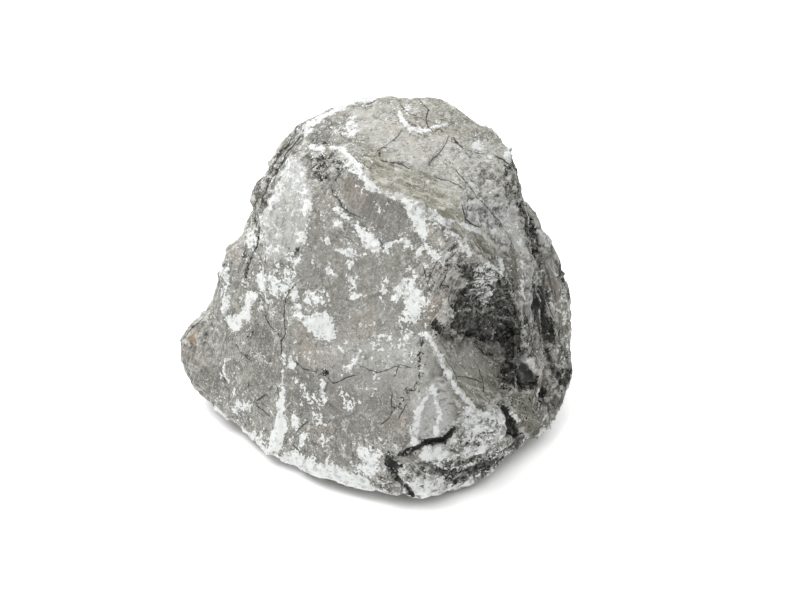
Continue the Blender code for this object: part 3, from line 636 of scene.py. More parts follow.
# A dark grey for dark hairlines, dark layers and dirt, and for painted shade in hollows.
DARK_MARKS_AND_SHADE = linear(74, 73, 69)
SHADE_AND_TONE_FACTOR = (0.38, 0.375, 0.36, 1.0)  # what the colour is multiplied by: painted shade on faces turned from the lamp and in hollows, and darker stone
CRACK = linear(44, 43, 40)
GROWTH = linear(88, 88, 82)
GROWTH_DEEP = linear(20, 21, 19)
CALCITE = linear(226, 228, 226)
CALCITE_GREY = linear(186, 188, 187)
TINT_COLOURS = {  # (colour, how far it covers at most)
    "olive": (linear(146, 144, 126), 0.75),
    "brown": (linear(155, 141, 128), 0.85),
    # partly paler stone, partly painted light that lifts faces in shade
    "pale": (linear(188, 188, 184), 0.85),
    "rust": (linear(182, 140, 66), 0.75),
}
STREAK_TURN = (0.0, math.radians(-12.0), 0.0)  # long streaks, a little off upright
STREAK_SCALE = (1.0, 1.0, 0.16)
LAYER_DRIFT = 0.09  # how fast layers change along themselves, for each millimetre
SWERVE_SCALE, SWERVE = 0.30, 6.0  # how often and how far hairlines swerve
HAIRLINES = (  # (size of the net's cells, colour, width, cover, level of noise where they break off)
    (9.0, DARK_MARKS_AND_SHADE, 0.045, 0.95, 0.50),
    (4.6, DARK_MARKS_AND_SHADE, 0.055, 0.75, 0.55),
    (6.3, CALCITE_GREY, 0.050, 0.90, 0.50),
)

# Noise in the finish: (size in millimetres, detail, roughness).
CLOUDS = (20.0, 5.0, 0.60)
MOTTLE = (4.0, 4.0, 0.62)
GRAIN = (0.9, 3.0, 0.70)
STREAKS = (1.8, 4.0, 0.65)
LAYERS = (1.0, 4.0, 0.68)
BUSY = (11.0, 3.0, 0.60)
SPECKS = (1.5, 2.0, 0.50)
SHORT_THREADS = (4.2, 3.0, 0.55)
THREAD_ENDS = (6.0, 3.0, 0.60)
PEPPER = (2.2, 4.0, 0.66)
DIRT = (1.5, 3.0, 0.60)
TUFTS = (3.6, 4.0, 0.62)
SMALL_TUFTS = (1.5, 3.0, 0.65)
LICHEN = (2.4, 4.0, 0.72)
SCATTER = (4.5, 4.0, 0.64)
SMALL_SCATTER = (1.5, 3.0, 0.68)
VEIN_WAVER = (1.6, 4.0, 0.7)
VEIN_GAPS = (3.2, 5.0, 0.8)
CALCITE_TONE = (2.6, 4.0, 0.74)
CRACK_WAVER = (1.4, 4.0, 0.6)
CRACK_GAPS = (5.0, 5.0, 0.78)

# ------------------------------------------------------------------------ floor and light
FLOOR_WIDTH = 8.0
FLOOR_COLOUR = (0.74, 0.74, 0.74, 1.0)
FLOOR_GLOW = 0.65  # keeps the paper white where nothing stands over it
FLOOR_REACH = 0.05  # metres in which the stone dims that glow: a painted shadow on the paper
PAINTED_SHADOW_TILT = (-0.45, -0.35, 0.82)  # which way the floor's openness is measured from, so the painted shadow lies on the stone's other side
SHADE_SAMPLES = 12
WHITE = (1.0, 1.0, 1.0, 1.0)
ROOM_LIGHT = 0.33
LAMP_TOWARD = Vector((-0.30, 0.14, 0.94))
LAMP_DISTANCE, LAMP_SIZE, LAMP_POWER = 1.6, 1.6, 39.5  # metres, metres and watts

# ------------------------------------------------------------------------ noise in three dimensions
LOW_BITS = np.uint64(0xFFFFFFFF)
CELL_CORNERS = np.array(list(itertools.product((0, 1), repeat=3)))
CELLS_AROUND = np.array(list(itertools.product((-1, 0, 1), repeat=3)))


def smooth_step(values, low, high):
    share = np.clip((values - low) / (high - low), 0.0, 1.0)
    return share * share * (3.0 - 2.0 * share)


def hashed(cells, seed):
    """A number from 0 to 1 for each whole-numbered cell."""
    mixed = (
        cells[..., 0] * 73856093
        ^ cells[..., 1] * 19349663
        ^ cells[..., 2] * 83492791
        ^ (seed + 7) * 2654435761
    ) & 0xFFFFFFFF
    mixed = mixed.astype(np.uint64)
    mixed = ((mixed ^ (mixed >> np.uint64(15))) * np.uint64(2246822519)) & LOW_BITS
    mixed = ((mixed ^ (mixed >> np.uint64(13))) * np.uint64(3266489917)) & LOW_BITS
    return (mixed ^ (mixed >> np.uint64(16))) / 4294967296.0


def smooth_noise(points, size, seed):
    """Noise from -1 to 1 whose lumps are about `size` across."""
    scaled = points / size
    corner = np.floor(scaled).astype(np.int64)
    part = scaled - corner
    part = part * part * (3.0 - 2.0 * part)
    total = np.zeros(len(points))
    for step in CELL_CORNERS:
        share = np.prod(np.where(step, part, 1.0 - part), axis=1)
        total += share * hashed(corner + step, seed)
    return total * 2.0 - 1.0


def layered_noise(points, size, octaves, seed, fade):
    """Noise from -1 to 1 with ever finer and fainter lumps."""
    total = np.zeros(len(points))
    weight, weights = 1.0, 0.0
    for octave in range(octaves):
        total += weight * smooth_noise(points, size * 0.5**octave, seed + 17 * octave)
        weights += weight
        weight *= fade
    return total / weights


def noise_vectors(points, size, octaves, seeds, fade):
    """A vector for each point, with one noise for each seed."""
    return np.stack([layered_noise(points, size, octaves, seed, fade) for seed in seeds], axis=1)


def nearest_cells(points, size, seed):
    """The two cells nearest to each point: rows of distance, centre and a number that names the cell."""
    scaled = points / size
    home = np.floor(scaled).astype(np.int64)
    first = np.full((len(points), 5), 9.0)
    second = first.copy()
    for step in CELLS_AROUND:
        cell = home + step
        jitter = np.stack([hashed(cell, seed + k) for k in (1, 2, 3)], axis=1)
        centre = cell + 0.1 + 0.8 * jitter
        away = np.linalg.norm(scaled - centre, axis=1)
        found = np.column_stack([away, centre, hashed(cell, seed + 4)])
        nearer = away < first[:, 0]
        between = ~nearer & (away < second[:, 0])
        second[nearer] = first[nearer]
        first[nearer] = found[nearer]
        second[between] = found[between]
    return first, second


def chips(points, size, slope, step, seed, edge):
    """Heights of small flat facets at random tilts, each a little higher or lower than its neighbours."""
    near, next_near = nearest_cells(points, size, seed)

    def height(cell):
        centre, name = cell[:, 1:4] * size, cell[:, 4]
        tilt = np.stack([np.sin(name * k) for k in (151.3, 273.7, 391.1)], axis=1)
        return slope * np.sum(tilt * (points - centre), axis=1) + step * np.sin(name * 517.9)

    gap = next_near[:, 0] * size - near[:, 0] * size
    share = np.clip(0.5 + gap / (2.0 * edge), 0.5, 1.0)
    return share * height(near) + (1.0 - share) * height(next_near)


# ------------------------------------------------------------------------ the surface


def fine_surface(node):
    """A close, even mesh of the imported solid, in the same place."""
    mesh = node.data.copy()
    welded = bmesh.new()
    welded.from_mesh(mesh)
    bmesh.ops.remove_doubles(welded, verts=welded.verts, dist=1e-5)
    welded.to_mesh(mesh)
    welded.free()
    stone = bpy.data.objects.new("stone surface source", mesh)
    bpy.context.scene.collection.objects.link(stone)
    remesh = stone.modifiers.new("even grid", "REMESH")
    remesh.mode = "VOXEL"
    remesh.voxel_size = GRID * MM
    evaluated = stone.evaluated_get(bpy.context.evaluated_depsgraph_get())
    fine = bpy.data.meshes.new_from_object(evaluated)
    bpy.data.objects.remove(stone)
    fine.materials.clear()
    return fine


def vectors_of(items, name):
    """One row of three numbers for each item of a mesh."""
    flat = np.empty(len(items) * 3, np.float32)
    items.foreach_get(name, flat)
    return flat.reshape(-1, 3).astype(np.float64)


def move_to(mesh, points):
    """Puts the mesh's vertices at points given in millimetres."""
    mesh.vertices.foreach_set("co", (points * MM).astype(np.float32).ravel())
    mesh.update()


def unit(vectors):
    return vectors / np.linalg.norm(vectors, axis=1)[:, None]


class Neighbours:
    """Averages a value over each vertex and its neighbours."""

    def __init__(self, mesh):
        flat = np.empty(len(mesh.edges) * 2, np.int32)
        mesh.edges.foreach_get("vertices", flat)
        self.one, self.other = flat.reshape(-1, 2).T
        self.many = len(mesh.vertices)
        ends = np.concatenate([self.one, self.other])
        self.count = np.maximum(np.bincount(ends, minlength=self.many), 1)

    def summed(self, column):
        to_one = np.bincount(self.one, weights=column[self.other], minlength=self.many)
        return to_one + np.bincount(self.other, weights=column[self.one], minlength=self.many)

    def average(self, values, rounds, share=1.0):
        for _ in range(rounds):
            mean = np.stack([self.summed(column) for column in values.T], axis=1) / self.count[:, None]
            values = values * (1.0 - share) + mean * share
        return values


# ------------------------------------------------------------------------ marks on the surface


def in_picture(points):
    """Where points, in millimetres, fall in the picture, in pixels."""
    away = points * MM - np.array(CAMERA_PLACE)
    depth = -away @ np.array(TO_CAMERA)
    x = PICTURE[0] / 2 + away[:, 0] / depth * PIXELS_PER_SLOPE
    y = PICTURE[1] / 2 - away @ np.array(CAMERA_UP) / depth * PIXELS_PER_SLOPE
    return np.stack([x, y], axis=1)


def seen_from_camera(mesh, points, outward):
    """1 where the camera sees the surface, 0 where it doesn't, with a soft change towards the contour."""
    faces = [tuple(face.vertices) for face in mesh.polygons]
    tree = BVHTree.FromPolygons([tuple(point) for point in points], faces)
    eye = np.array(CAMERA_PLACE) / MM
    toward = unit(eye - points)
    low, high = SEEN_FACING
    seen = np.clip((np.sum(outward * toward, axis=1) - low) / (high - low), 0.0, 1.0)
    starts = points + outward * RAY_START + toward * RAY_START
    for i in np.nonzero(seen > 0)[0]:
        if tree.ray_cast(Vector(starts[i]), Vector(toward[i]))[0] is not None:
            seen[i] = 0.0
    return seen


def pairs(flat):
    """x, y, x, y, ... as a list of (x, y)."""
    return list(zip(flat[::2], flat[1::2]))


def distance_to_line(pixels, line):
    """How far each pixel is from a line, and on which side: negative to its left."""
    nearest = np.full(len(pixels), 1e9)
    side = np.ones(len(pixels))
    for start, end in itertools.pairwise(np.array(line, float)):
        along = end - start
        offset = pixels - start
        share = np.clip(offset @ along / (along @ along), 0.0, 1.0)
        away = np.linalg.norm(offset - share[:, None] * along, axis=1)
        closer = away < nearest
        nearest[closer] = away[closer]
        cross = along[0] * offset[:, 1] - along[1] * offset[:, 0]
        side[closer] = np.where(cross[closer] < 0.0, -1.0, 1.0)
    return nearest, side


def depth_in_patch(pixels, corners):
    """How far inside a closed outline each pixel is; negative outside."""
    outline = corners + corners[:1]
    away, _ = distance_to_line(pixels, outline)
    inside = np.zeros(len(pixels), bool)
    for (x0, y0), (x1, y1) in itertools.pairwise(outline):
        crosses = (y0 > pixels[:, 1]) != (y1 > pixels[:, 1])
        if y0 != y1:
            inside ^= crosses & (pixels[:, 0] < (x1 - x0) * (pixels[:, 1] - y0) / (y1 - y0) + x0)
    return np.where(inside, away, -away)


def near_mark(pixels, points, margin):
    """Which vertices are within the margin of the box around some points."""
    low, high = np.min(points, axis=0) - margin, np.max(points, axis=0) + margin
    return np.nonzero(np.all((pixels > low) & (pixels < high), axis=1))[0]


def patch_cover(pixels, seen, marks, halo=0.0):
    """How thickly each vertex is covered by the thickest of the patches there.

    The cover falls to nothing across each patch's fringe; with a halo, a light dusting reaches further.
    """
    cover = np.zeros(len(pixels))
    for thickness, fringe, outline in marks:
        corners = pairs(outline)
        near = near_mark(pixels, corners, 3 * fringe)
        depth = depth_in_patch(pixels[near], corners)
        here = thickness * smooth_step(depth, -0.6 * fringe, 0.7 * fringe)
        dust = thickness * halo * smooth_step(depth, -3.0 * fringe, 0.0)
        cover[near] = np.maximum(cover[near], np.maximum(here, dust))
    return cover * seen


def band_cover(pixels, seen, marks, halo):
    """As patch_cover, for lines wider than the mesh's grid."""
    cover = np.zeros(len(pixels))
    for thickness, width, fringe, course in marks:
        line = pairs(course)
        near = near_mark(pixels, line, width + 3 * fringe)
        away, _ = distance_to_line(pixels[near], line)
        depth = width / 2 - away
        here = thickness * smooth_step(depth, -0.8 * fringe, min(0.5 * fringe, width / 2))
        dust = thickness * halo * smooth_step(depth, -3.0 * fringe, 0.0)
        cover[near] = np.maximum(cover[near], np.maximum(here, dust))
    return cover * seen


def thin_lines(pixels, seen, marks):
    """Signed distance to the nearest line in half widths, and 1 near a line and 0 away from all of them.

    A signed distance changes evenly across a line, so a line narrower than the mesh's grid stays crisp.
    """
    side = np.full(len(pixels), FAR_SIDE)
    nearest = np.full(len(pixels), FAR_AWAY)
    for width, course in marks:
        line = pairs(course)
        near = near_mark(pixels, line, LINE_REACH)
        away, sign = distance_to_line(pixels[near], line)
        closer = away < nearest[near]
        chosen = near[closer]
        nearest[chosen] = away[closer]
        side[chosen] = np.clip(sign[closer] * away[closer] / (width / 2), -FAR_SIDE, FAR_SIDE)
    gate = np.clip((GATE_END - nearest) / GATE_WIDTH, 0.0, 1.0) * (seen > 0.5)
    return side, gate


def layers(pixels, seen, marks):
    """How strongly the stone is layered, and how far across the layers, in pixels, each vertex is."""
    strength = np.zeros(len(pixels))
    across = np.zeros(len(pixels))
    for strong, fringe, outline, course in marks:
        corners, line = pairs(outline), pairs(course)
        near = near_mark(pixels, corners, fringe)
        depth = depth_in_patch(pixels[near], corners)
        here = strong * smooth_step(depth, -0.6 * fringe, 0.6 * fringe)
        away, sign = distance_to_line(pixels[near], line)
        stronger = here > strength[near]
        chosen = near[stronger]
        strength[chosen] = here[stronger]
        across[chosen] = (away * sign)[stronger]
    return strength * seen, across


def pushes(pixels, marks):
    """Heights of broad round bumps and dents."""
    height = np.zeros(len(pixels))
    for top, reach, place in marks:
        away = np.linalg.norm(pixels - np.array(place, float), axis=1)
        height += top * np.exp(-((away / reach) ** 2))
    return height


def creases(pixels, seen, marks):
    """Heights of crests and valleys along lines, like tents with rounded tops."""
    height = np.zeros(len(pixels))
    for top, reach, course in marks:
        line = pairs(course)
        near = near_mark(pixels, line, reach)
        away, _ = distance_to_line(pixels[near], line)
        height[near] += top * np.clip(1.0 - np.sqrt(away**2 + 0.5) / reach, 0.0, 1.0)
    return height * seen


# ------------------------------------------------------------------------ the stone


class Surface:
    """The stone's surface, with a value or a row for each vertex, and lengths in millimetres."""

    def __init__(self, mesh):
        self.mesh = mesh
        self.near = Neighbours(mesh)
        self.points = self.near.average(vectors_of(mesh.vertices, "co") / MM, 2, 0.6)
        move_to(mesh, self.points)
        self.outward = self.smooth_normals(3)
        self.seen = seen_from_camera(mesh, self.points, self.outward)
        self.unseen = 1.0 - self.seen
        self.hidden = self.unseen > 0.5
        self.pixels = in_picture(self.points)

    def smooth_normals(self, rounds):
        return unit(self.near.average(vectors_of(self.mesh.vertex_normals, "vector"), rounds))

    def noise(self, settings):
        return layered_noise(self.points, *settings)

    def bent_noise(self, settings):
        return layered_noise(self.bent, *settings)

    def push_out(self, height):
        self.points = self.points + self.outward * height[:, None]

    def chip(self):
        """Chips, creases and layers. Flat faces stay calm, and edges seen from the side are rougher."""
        flat_front = CALM_FRONT * smooth_step(self.outward @ np.array(FRONT_FACE), 0.80, 0.95)
        flat_top = CALM_TOP * smooth_step(self.outward[:, 2], 0.75, 0.92)
        facing = self.outward @ np.array(TO_CAMERA)
        self.push_out(smooth_step(facing, -0.5, -0.2) * pushes(self.pixels, PUSHES.values()))
        even = smooth_step(self.noise(EVEN), -0.15, 0.25)
        self.plain = patch_cover(self.pixels, self.seen, SMOOTH_FACETS)
        self.plain = np.maximum(self.plain, PLAIN_EVEN * self.unseen * even)
        calm = np.maximum(np.maximum(flat_front, flat_top), CALM_FACETS * self.plain)
        calm = np.maximum(calm, self.unseen * (CALM_HIDDEN + CALM_EVEN * even))
        edgewise = smooth_step(facing, 0.45, 0.10) * smooth_step(facing, -0.40, -0.05)
        self.off_the_ground = smooth_step(self.points[:, 2], *OFF_THE_GROUND)
        self.bent = self.points + BEND * noise_vectors(self.points, *WARP)
        self.ragged = noise_vectors(self.points, *RAGGED)
        height = (1.0 - calm) * sum(chips(self.bent, *chip) for chip in CHIPS)
        lumpy = ROUGH_HEIGHT - ROUGH_CALM * calm + ROUGH_EDGE * edgewise
        height += lumpy * self.noise(ROUGH)
        height += creases(self.pixels + RAGGED_BANDS * self.ragged, self.seen, RIDGES.values())

        torn = self.pixels + RAGGED_LAYERS * self.ragged
        self.grained, self.across = layers(torn, self.seen, GRAINED.values())
        bedding = (self.bent @ np.array(BEDDING)) * BEDDING_SCALE
        self.across[self.hidden] = bedding[self.hidden]
        bedded = smooth_step(self.noise(BEDDED), 0.0, 0.5)
        bedded = HIDDEN_LAYERS * self.unseen * bedded * (1.0 - even)
        self.grained = np.maximum(self.grained, bedded)
        x, y = self.bent[:, 0] / LAYER_LENGTH, self.bent[:, 1] / LAYER_LENGTH
        stacked = np.stack([self.across / LAYER_STEP, x, y], axis=1)
        height += LAYER_HEIGHT * self.grained * smooth_noise(stacked, 1.0, LAYER_SEED)
        self.push_out(height * self.off_the_ground)
        move_to(self.mesh, self.points)
        self.outward = self.smooth_normals(1)

    def lay_marks(self):
        """The marks that the camera sees."""
        seen = self.seen
        self.blurred = self.pixels + RAGGED_PATCHES * self.ragged
        steady = self.pixels + RAGGED_BANDS * self.ragged
        self.calcite = np.maximum(
            patch_cover(self.blurred, seen, CALCITE_PATCHES.values(), HALO),
            band_cover(steady, seen, CALCITE_BANDS.values(), HALO),
        )
        self.growth_and_shade = np.maximum(
            patch_cover(self.blurred, seen, DARK_PATCHES.values(), HALO),
            band_cover(steady, seen, DARK_BANDS.values(), DARK_BAND_HALO),
        )
        self.growth_and_shade *= 1.0 - patch_cover(steady, seen, CLEAN_PATCHES)
        self.calcite *= 1.0 - smooth_step(self.growth_and_shade, *CALCITE_KILLED)
        threads = self.pixels + RAGGED_THREADS * self.ragged
        self.vein, self.vein_gate = thin_lines(threads, seen, THREADS.values())
        cracks = self.pixels + RAGGED_CRACKS * self.ragged
        self.crack, self.crack_gate = thin_lines(cracks, seen, CRACKS.values())

    def mark_hidden_side(self):
        """Where the camera doesn't see, noise draws marks of the same kinds and sizes."""
        unseen, hidden = self.unseen, self.hidden
        region = self.noise(REGION)
        patchy = smooth_step(self.bent_noise(PATCHY) + 0.45 * region, *CALCITE_HIDDEN)
        self.calcite = np.maximum(self.calcite, unseen * patchy)
        grown = smooth_step(self.bent_noise(GROWN) - 0.35 * region, *STAIN_HIDDEN)
        self.growth_and_shade = np.maximum(self.growth_and_shade, unseen * HIDDEN_STAIN * grown)
        sheet = np.clip(self.bent_noise(VEIN_SHEET) * VEIN_SPREAD, -FAR_SIDE, FAR_SIDE)
        self.vein[hidden] = sheet[hidden]
        self.vein_gate[hidden] = smooth_step(self.noise(VEIN_GATE), *VEINS_HIDDEN)[hidden]
        split = np.clip(self.bent_noise(CRACK_SHEET) * CRACK_SPREAD, -FAR_SIDE, FAR_SIDE)
        self.crack[hidden] = split[hidden]
        self.crack_gate[hidden] = smooth_step(self.noise(CRACK_GATE), *CRACKS_HIDDEN)[hidden]

    def raise_marks(self):
        """Calcite stands a little proud, growth sits in pits, and cracks are cut in."""
        crust = smooth_step(self.calcite + 0.25 * self.ragged[:, 0], *CRUST_RISES)
        relief = (
            CRUST_HEIGHT * crust * (1.0 + self.noise(CRUSTY))
            - CRACK_DEPTH * self.crack_gate * np.exp(-(self.crack**2) / 5.0)
            - PIT_DEPTH * smooth_step(self.growth_and_shade, *PIT_SINKS) * (0.7 + self.noise(PITTED))
        )
        self.push_out(relief * self.off_the_ground)
        low = np.array(cad_low) / MM + BOX_GAP
        high = np.array(cad_high) / MM - BOX_GAP
        low[2] -= BOX_GAP
        self.points = np.clip(self.points, low, high)
        move_to(self.mesh, self.points)

    def keep_marks(self):
        """Keeps on the mesh what the finish reads."""
        rise = np.sum((self.points - self.near.average(self.points, 3)) * self.outward, axis=1)
        level = smooth_step(self.outward[:, 2], 0.35, 0.75)
        kept = {
            "calcite": self.calcite,
            "growth_and_shade": self.growth_and_shade,
            "vein": self.vein,
            "vein_gate": self.vein_gate,
            "crack": self.crack,
            "crack_gate": self.crack_gate,
            "grained": self.grained,
            "plain": self.plain,
            "across": self.across,
            "crazed": np.maximum(0.70 * level, 0.40 + 0.25 * self.unseen),
            "fine_bulge": (1.0 - 0.4 * self.unseen) * rise,
        }
        for seed, (tint, marks) in enumerate(TINTS.items(), DRIFT_SEED):
            drift = smooth_step(self.noise((DRIFT_SIZE, DRIFT_OCTAVES, seed, 0.5)), 0.15, 0.6)
            strength = 0.0 if tint == "rust" else HIDDEN_TINT
            cover = patch_cover(self.blurred, self.seen, marks)
            kept[tint] = np.maximum(cover, self.unseen * strength * drift)
        for name, values in kept.items():
            attribute = self.mesh.attributes.new(name, "FLOAT", "POINT")
            attribute.data.foreach_set("value", values.astype(np.float32))


def weather(mesh):
    """Gives the even mesh its chips, cracks and crusts, and keeps on it what the finish reads."""
    surface = Surface(mesh)
    surface.chip()
    surface.lay_marks()
    surface.mark_hidden_side()
    surface.raise_marks()
    surface.keep_marks()


# ------------------------------------------------------------------------ the material


class Finish:
    """Adds shader nodes to a material, one short call for each."""

    def __init__(self, name):
        self.material = bpy.data.materials.new(name)
        self.material.use_nodes = True
        self.tree = self.material.node_tree
        self.tree.nodes.clear()

    def feed(self, socket, value):
        """Gives an input a value, or the output of another node."""
        if isinstance(value, bpy.types.NodeSocket):
            self.tree.links.new(value, socket)
        else:
            socket.default_value = value

    def add(self, kind, inputs=(), **settings):
        node = self.tree.nodes.new(kind)
        for name, value in settings.items():
            setattr(node, name, value)
        for name, value in dict(inputs).items():
            self.feed(node.inputs[name], value)
        return node

    def mark(self, name):
        return self.add("ShaderNodeAttribute", attribute_name=name).outputs["Fac"]

    def math(self, operation, first, second=0.0):
        return self.add("ShaderNodeMath", {0: first, 1: second}, operation=operation).outputs[0]

    def times(self, first, second):
        return self.math("MULTIPLY", first, second)

    def plus(self, first, second):
        return self.math("ADD", first, second)

    def minus(self, first, second):
        return self.math("SUBTRACT", first, second)

    def scaled(self, vector, by):
        inputs = {0: vector, 1: (by, by, by)}
        return self.add("ShaderNodeVectorMath", inputs, operation="MULTIPLY").outputs[0]

    def shifted(self, vector, by):
        return self.add("ShaderNodeVectorMath", {0: vector, 1: by}, operation="ADD").outputs[0]

    def noise(self, place, size, detail, roughness):
        inputs = {"Vector": place, "Scale": 1.0 / size, "Detail": detail, "Roughness": roughness}
        return self.add("ShaderNodeTexNoise", inputs).outputs["Fac"]

    def cell_edges(self, place, size):
        """How far each place is from the nearest edge of a net of cells."""
        inputs = {"Vector": place, "Scale": 1.0 / size}
        node = self.add("ShaderNodeTexVoronoi", inputs, feature="DISTANCE_TO_EDGE")
        return node.outputs["Distance"]

    def rise(self, value, low, high, top=1.0):
        """0 at `low` and `top` at `high` and beyond, with a smooth change between."""
        inputs = {"Value": value, "From Min": low, "From Max": high, "To Min": 0.0, "To Max": top}
        return self.add("ShaderNodeMapRange", inputs, interpolation_type="SMOOTHSTEP").outputs[0]

    def mix(self, share, first, second, blend="MIX"):
        node = self.add("ShaderNodeMix", data_type="RGBA", blend_type=blend)
        for index, value in ((0, share), (6, first), (7, second)):
            self.feed(node.inputs[index], value)
        return node.outputs[2]

    def bump(self, height, distance, strength, before=None):
        inputs = {"Height": height, "Distance": distance, "Strength": strength}
        if before is not None:
            inputs["Normal"] = before
        return self.add("ShaderNodeBump", inputs).outputs[0]

    def finished(self, inputs):
        """The material, once its surface has these inputs."""
        shader = self.add("ShaderNodeBsdfPrincipled", inputs)
        self.add("ShaderNodeOutputMaterial", {"Surface": shader.outputs[0]})
        return self.material


def stone_finish():
    f = Finish("limestone")
    mm = f.scaled(f.add("ShaderNodeTexCoord").outputs["Object"], 1000.0)
    turned = {"Vector": mm, "Rotation": STREAK_TURN, "Scale": STREAK_SCALE}
    streaked = f.add("ShaderNodeMapping", turned).outputs[0]
    clouds = f.noise(mm, *CLOUDS)
    mottle = f.noise(mm, *MOTTLE)
    grain = f.noise(mm, *GRAIN)
    streak = f.noise(streaked, *STREAKS)
    plain = f.mark("plain")
    growth_and_shade = f.mark("growth_and_shade")

    # The matrix: a flat grey with a light and a dark grain.
    tone = f.plus(f.times(clouds, 0.50), f.times(mottle, 0.50))
    colour = f.mix(f.rise(tone, 0.38, 0.62), STONE_DARK, STONE_LIGHT)
    colour = f.mix(f.rise(streak, 0.56, 0.68, 0.40), colour, STONE_PALE)
    colour = f.mix(f.rise(streak, 0.44, 0.32, 0.40), colour, STONE_DEEP)
    colour = f.mix(f.times(plain, 0.80), colour, STONE_PLAIN)
    # Tints, where the pale one is partly painted light on faces in shade.
    for name, (tint, share) in TINT_COLOURS.items():
        uneven = f.times(f.mark(name), f.rise(mottle, 0.20, 0.48, share))
        colour = f.mix(uneven, colour, tint)
    # Painted shade on faces turned from the lamp and in hollows, and darker stone, multiplied in.
    shade_and_dark_tone = f.mark("shade_and_dark_tone")
    colour = f.mix(f.times(shade_and_dark_tone, f.rise(mottle, 0.15, 0.55, 0.80)), colour, SHADE_AND_TONE_FACTOR, "MULTIPLY")
    rough = f.minus(1.0, f.times(plain, 0.60))
    colour = f.mix(f.times(rough, f.rise(grain, 0.54, 0.62, 0.50)), colour, STONE_PALE)
    colour = f.mix(f.times(rough, f.rise(grain, 0.46, 0.38, 0.55)), colour, STONE_DEEP)

    # Layers: light and dark lines along the bedding.
    thickness = f.times(f.mark("across"), 1.0 / LAYER_PIXELS)
    depth = f.add("ShaderNodeCombineXYZ", {"X": thickness}).outputs[0]
    layer = f.noise(f.shifted(f.scaled(mm, LAYER_DRIFT), depth), *LAYERS)
    grained = f.mark("grained")
    colour = f.mix(f.times(grained, f.rise(layer, 0.52, 0.59, 0.75)), colour, STONE_PALE)
    colour = f.mix(f.times(grained, f.rise(layer, 0.47, 0.40, 0.90)), colour, DARK_MARKS_AND_SHADE)

    # Hairlines: a fine net of closed cracks, some dark and some filled with calcite.
    swirl = {"Vector": mm, "Scale": SWERVE_SCALE, "Detail": 4.0, "Roughness": 0.6}
    swerve = f.add("ShaderNodeTexNoise", swirl).outputs["Color"]
    bent = f.shifted(mm, f.scaled(swerve, SWERVE))
    crazed = f.mark("crazed")
    for size, line, width, share, low in HAIRLINES:
        broken = f.rise(f.noise(mm, 2.0 * size, 4.0, 0.65), low, low + 0.03)
        hairline = f.times(f.rise(f.cell_edges(bent, size), width, 0.2 * width, share), broken)
        colour = f.mix(f.times(hairline, crazed), colour, line)

    # Specks and short crooked threads of calcite, closer together here than there.
    busy = f.rise(f.noise(mm, *BUSY), 0.47, 0.58)
    speck = f.rise(f.noise(mm, *SPECKS), 0.655, 0.675)
    off_level = f.math("ABSOLUTE", f.minus(f.noise(mm, *SHORT_THREADS), 0.5))
    thread = f.times(f.rise(off_level, 0.018, 0.010), f.rise(f.noise(mm, *THREAD_ENDS), 0.54, 0.57))
    flecks = f.times(f.math("MAXIMUM", speck, thread), busy)
    bare = f.math("MAXIMUM", plain, shade_and_dark_tone)
    flecks = f.times(flecks, f.minus(0.75, f.times(bare, 0.60)))
    colour = f.mix(flecks, colour, CALCITE)

    # Salt and pepper, and dirt.
    speckled = f.mark("speckled")
    pepper = f.noise(mm, *PEPPER)
    colour = f.mix(f.times(speckled, f.rise(pepper, 0.48, 0.43, 0.80)), colour, GROWTH)
    colour = f.mix(f.times(speckled, f.rise(pepper, 0.55, 0.59, 0.90)), colour, CALCITE_GREY)
    colour = f.mix(f.rise(f.noise(mm, *DIRT), 0.34, 0.30, 0.8), colour, DARK_MARKS_AND_SHADE)

    # Edges that bulge are lighter, partly wear and partly a painted highlight; hollows get painted shade.
    bulge = f.mark("fine_bulge")
    worn_and_highlit = f.times(f.rise(bulge, 0.05, 0.22), f.rise(mottle, 0.36, 0.60, 0.75))
    colour = f.mix(worn_and_highlit, colour, STONE_PALE)
    # painted shade: darker where the surface dips into a hollow
    colour = f.mix(f.rise(bulge, -0.05, -0.28, 0.55), colour, DARK_MARKS_AND_SHADE)

    # Dark growth, with painted shade under the heel and in the valley beside it: the thicker it grows,
    # the more of the noise it covers.
    tufts = f.plus(f.noise(mm, *TUFTS), f.noise(mm, *SMALL_TUFTS))
    growing = f.minus(growth_and_shade, f.rise(f.times(tufts, 0.5), 0.38, 0.62))
    lichen = f.noise(mm, *LICHEN)
    greyish = f.times(f.rise(lichen, 0.46, 0.54), f.rise(growth_and_shade, 1.20, 0.95))
    growth = f.mix(greyish, GROWTH_DEEP, GROWTH)
    fleck = f.times(f.rise(lichen, 0.56, 0.60), f.rise(growth_and_shade, 1.10, 0.75))
    growth = f.mix(fleck, growth, STONE_LIGHT)
    growth = f.mix(f.times(grained, f.rise(layer, 0.52, 0.64, 0.50)), growth, STONE_DARK)
    colour = f.mix(f.times(f.rise(growing, -0.06, 0.06), 0.95), colour, growth)

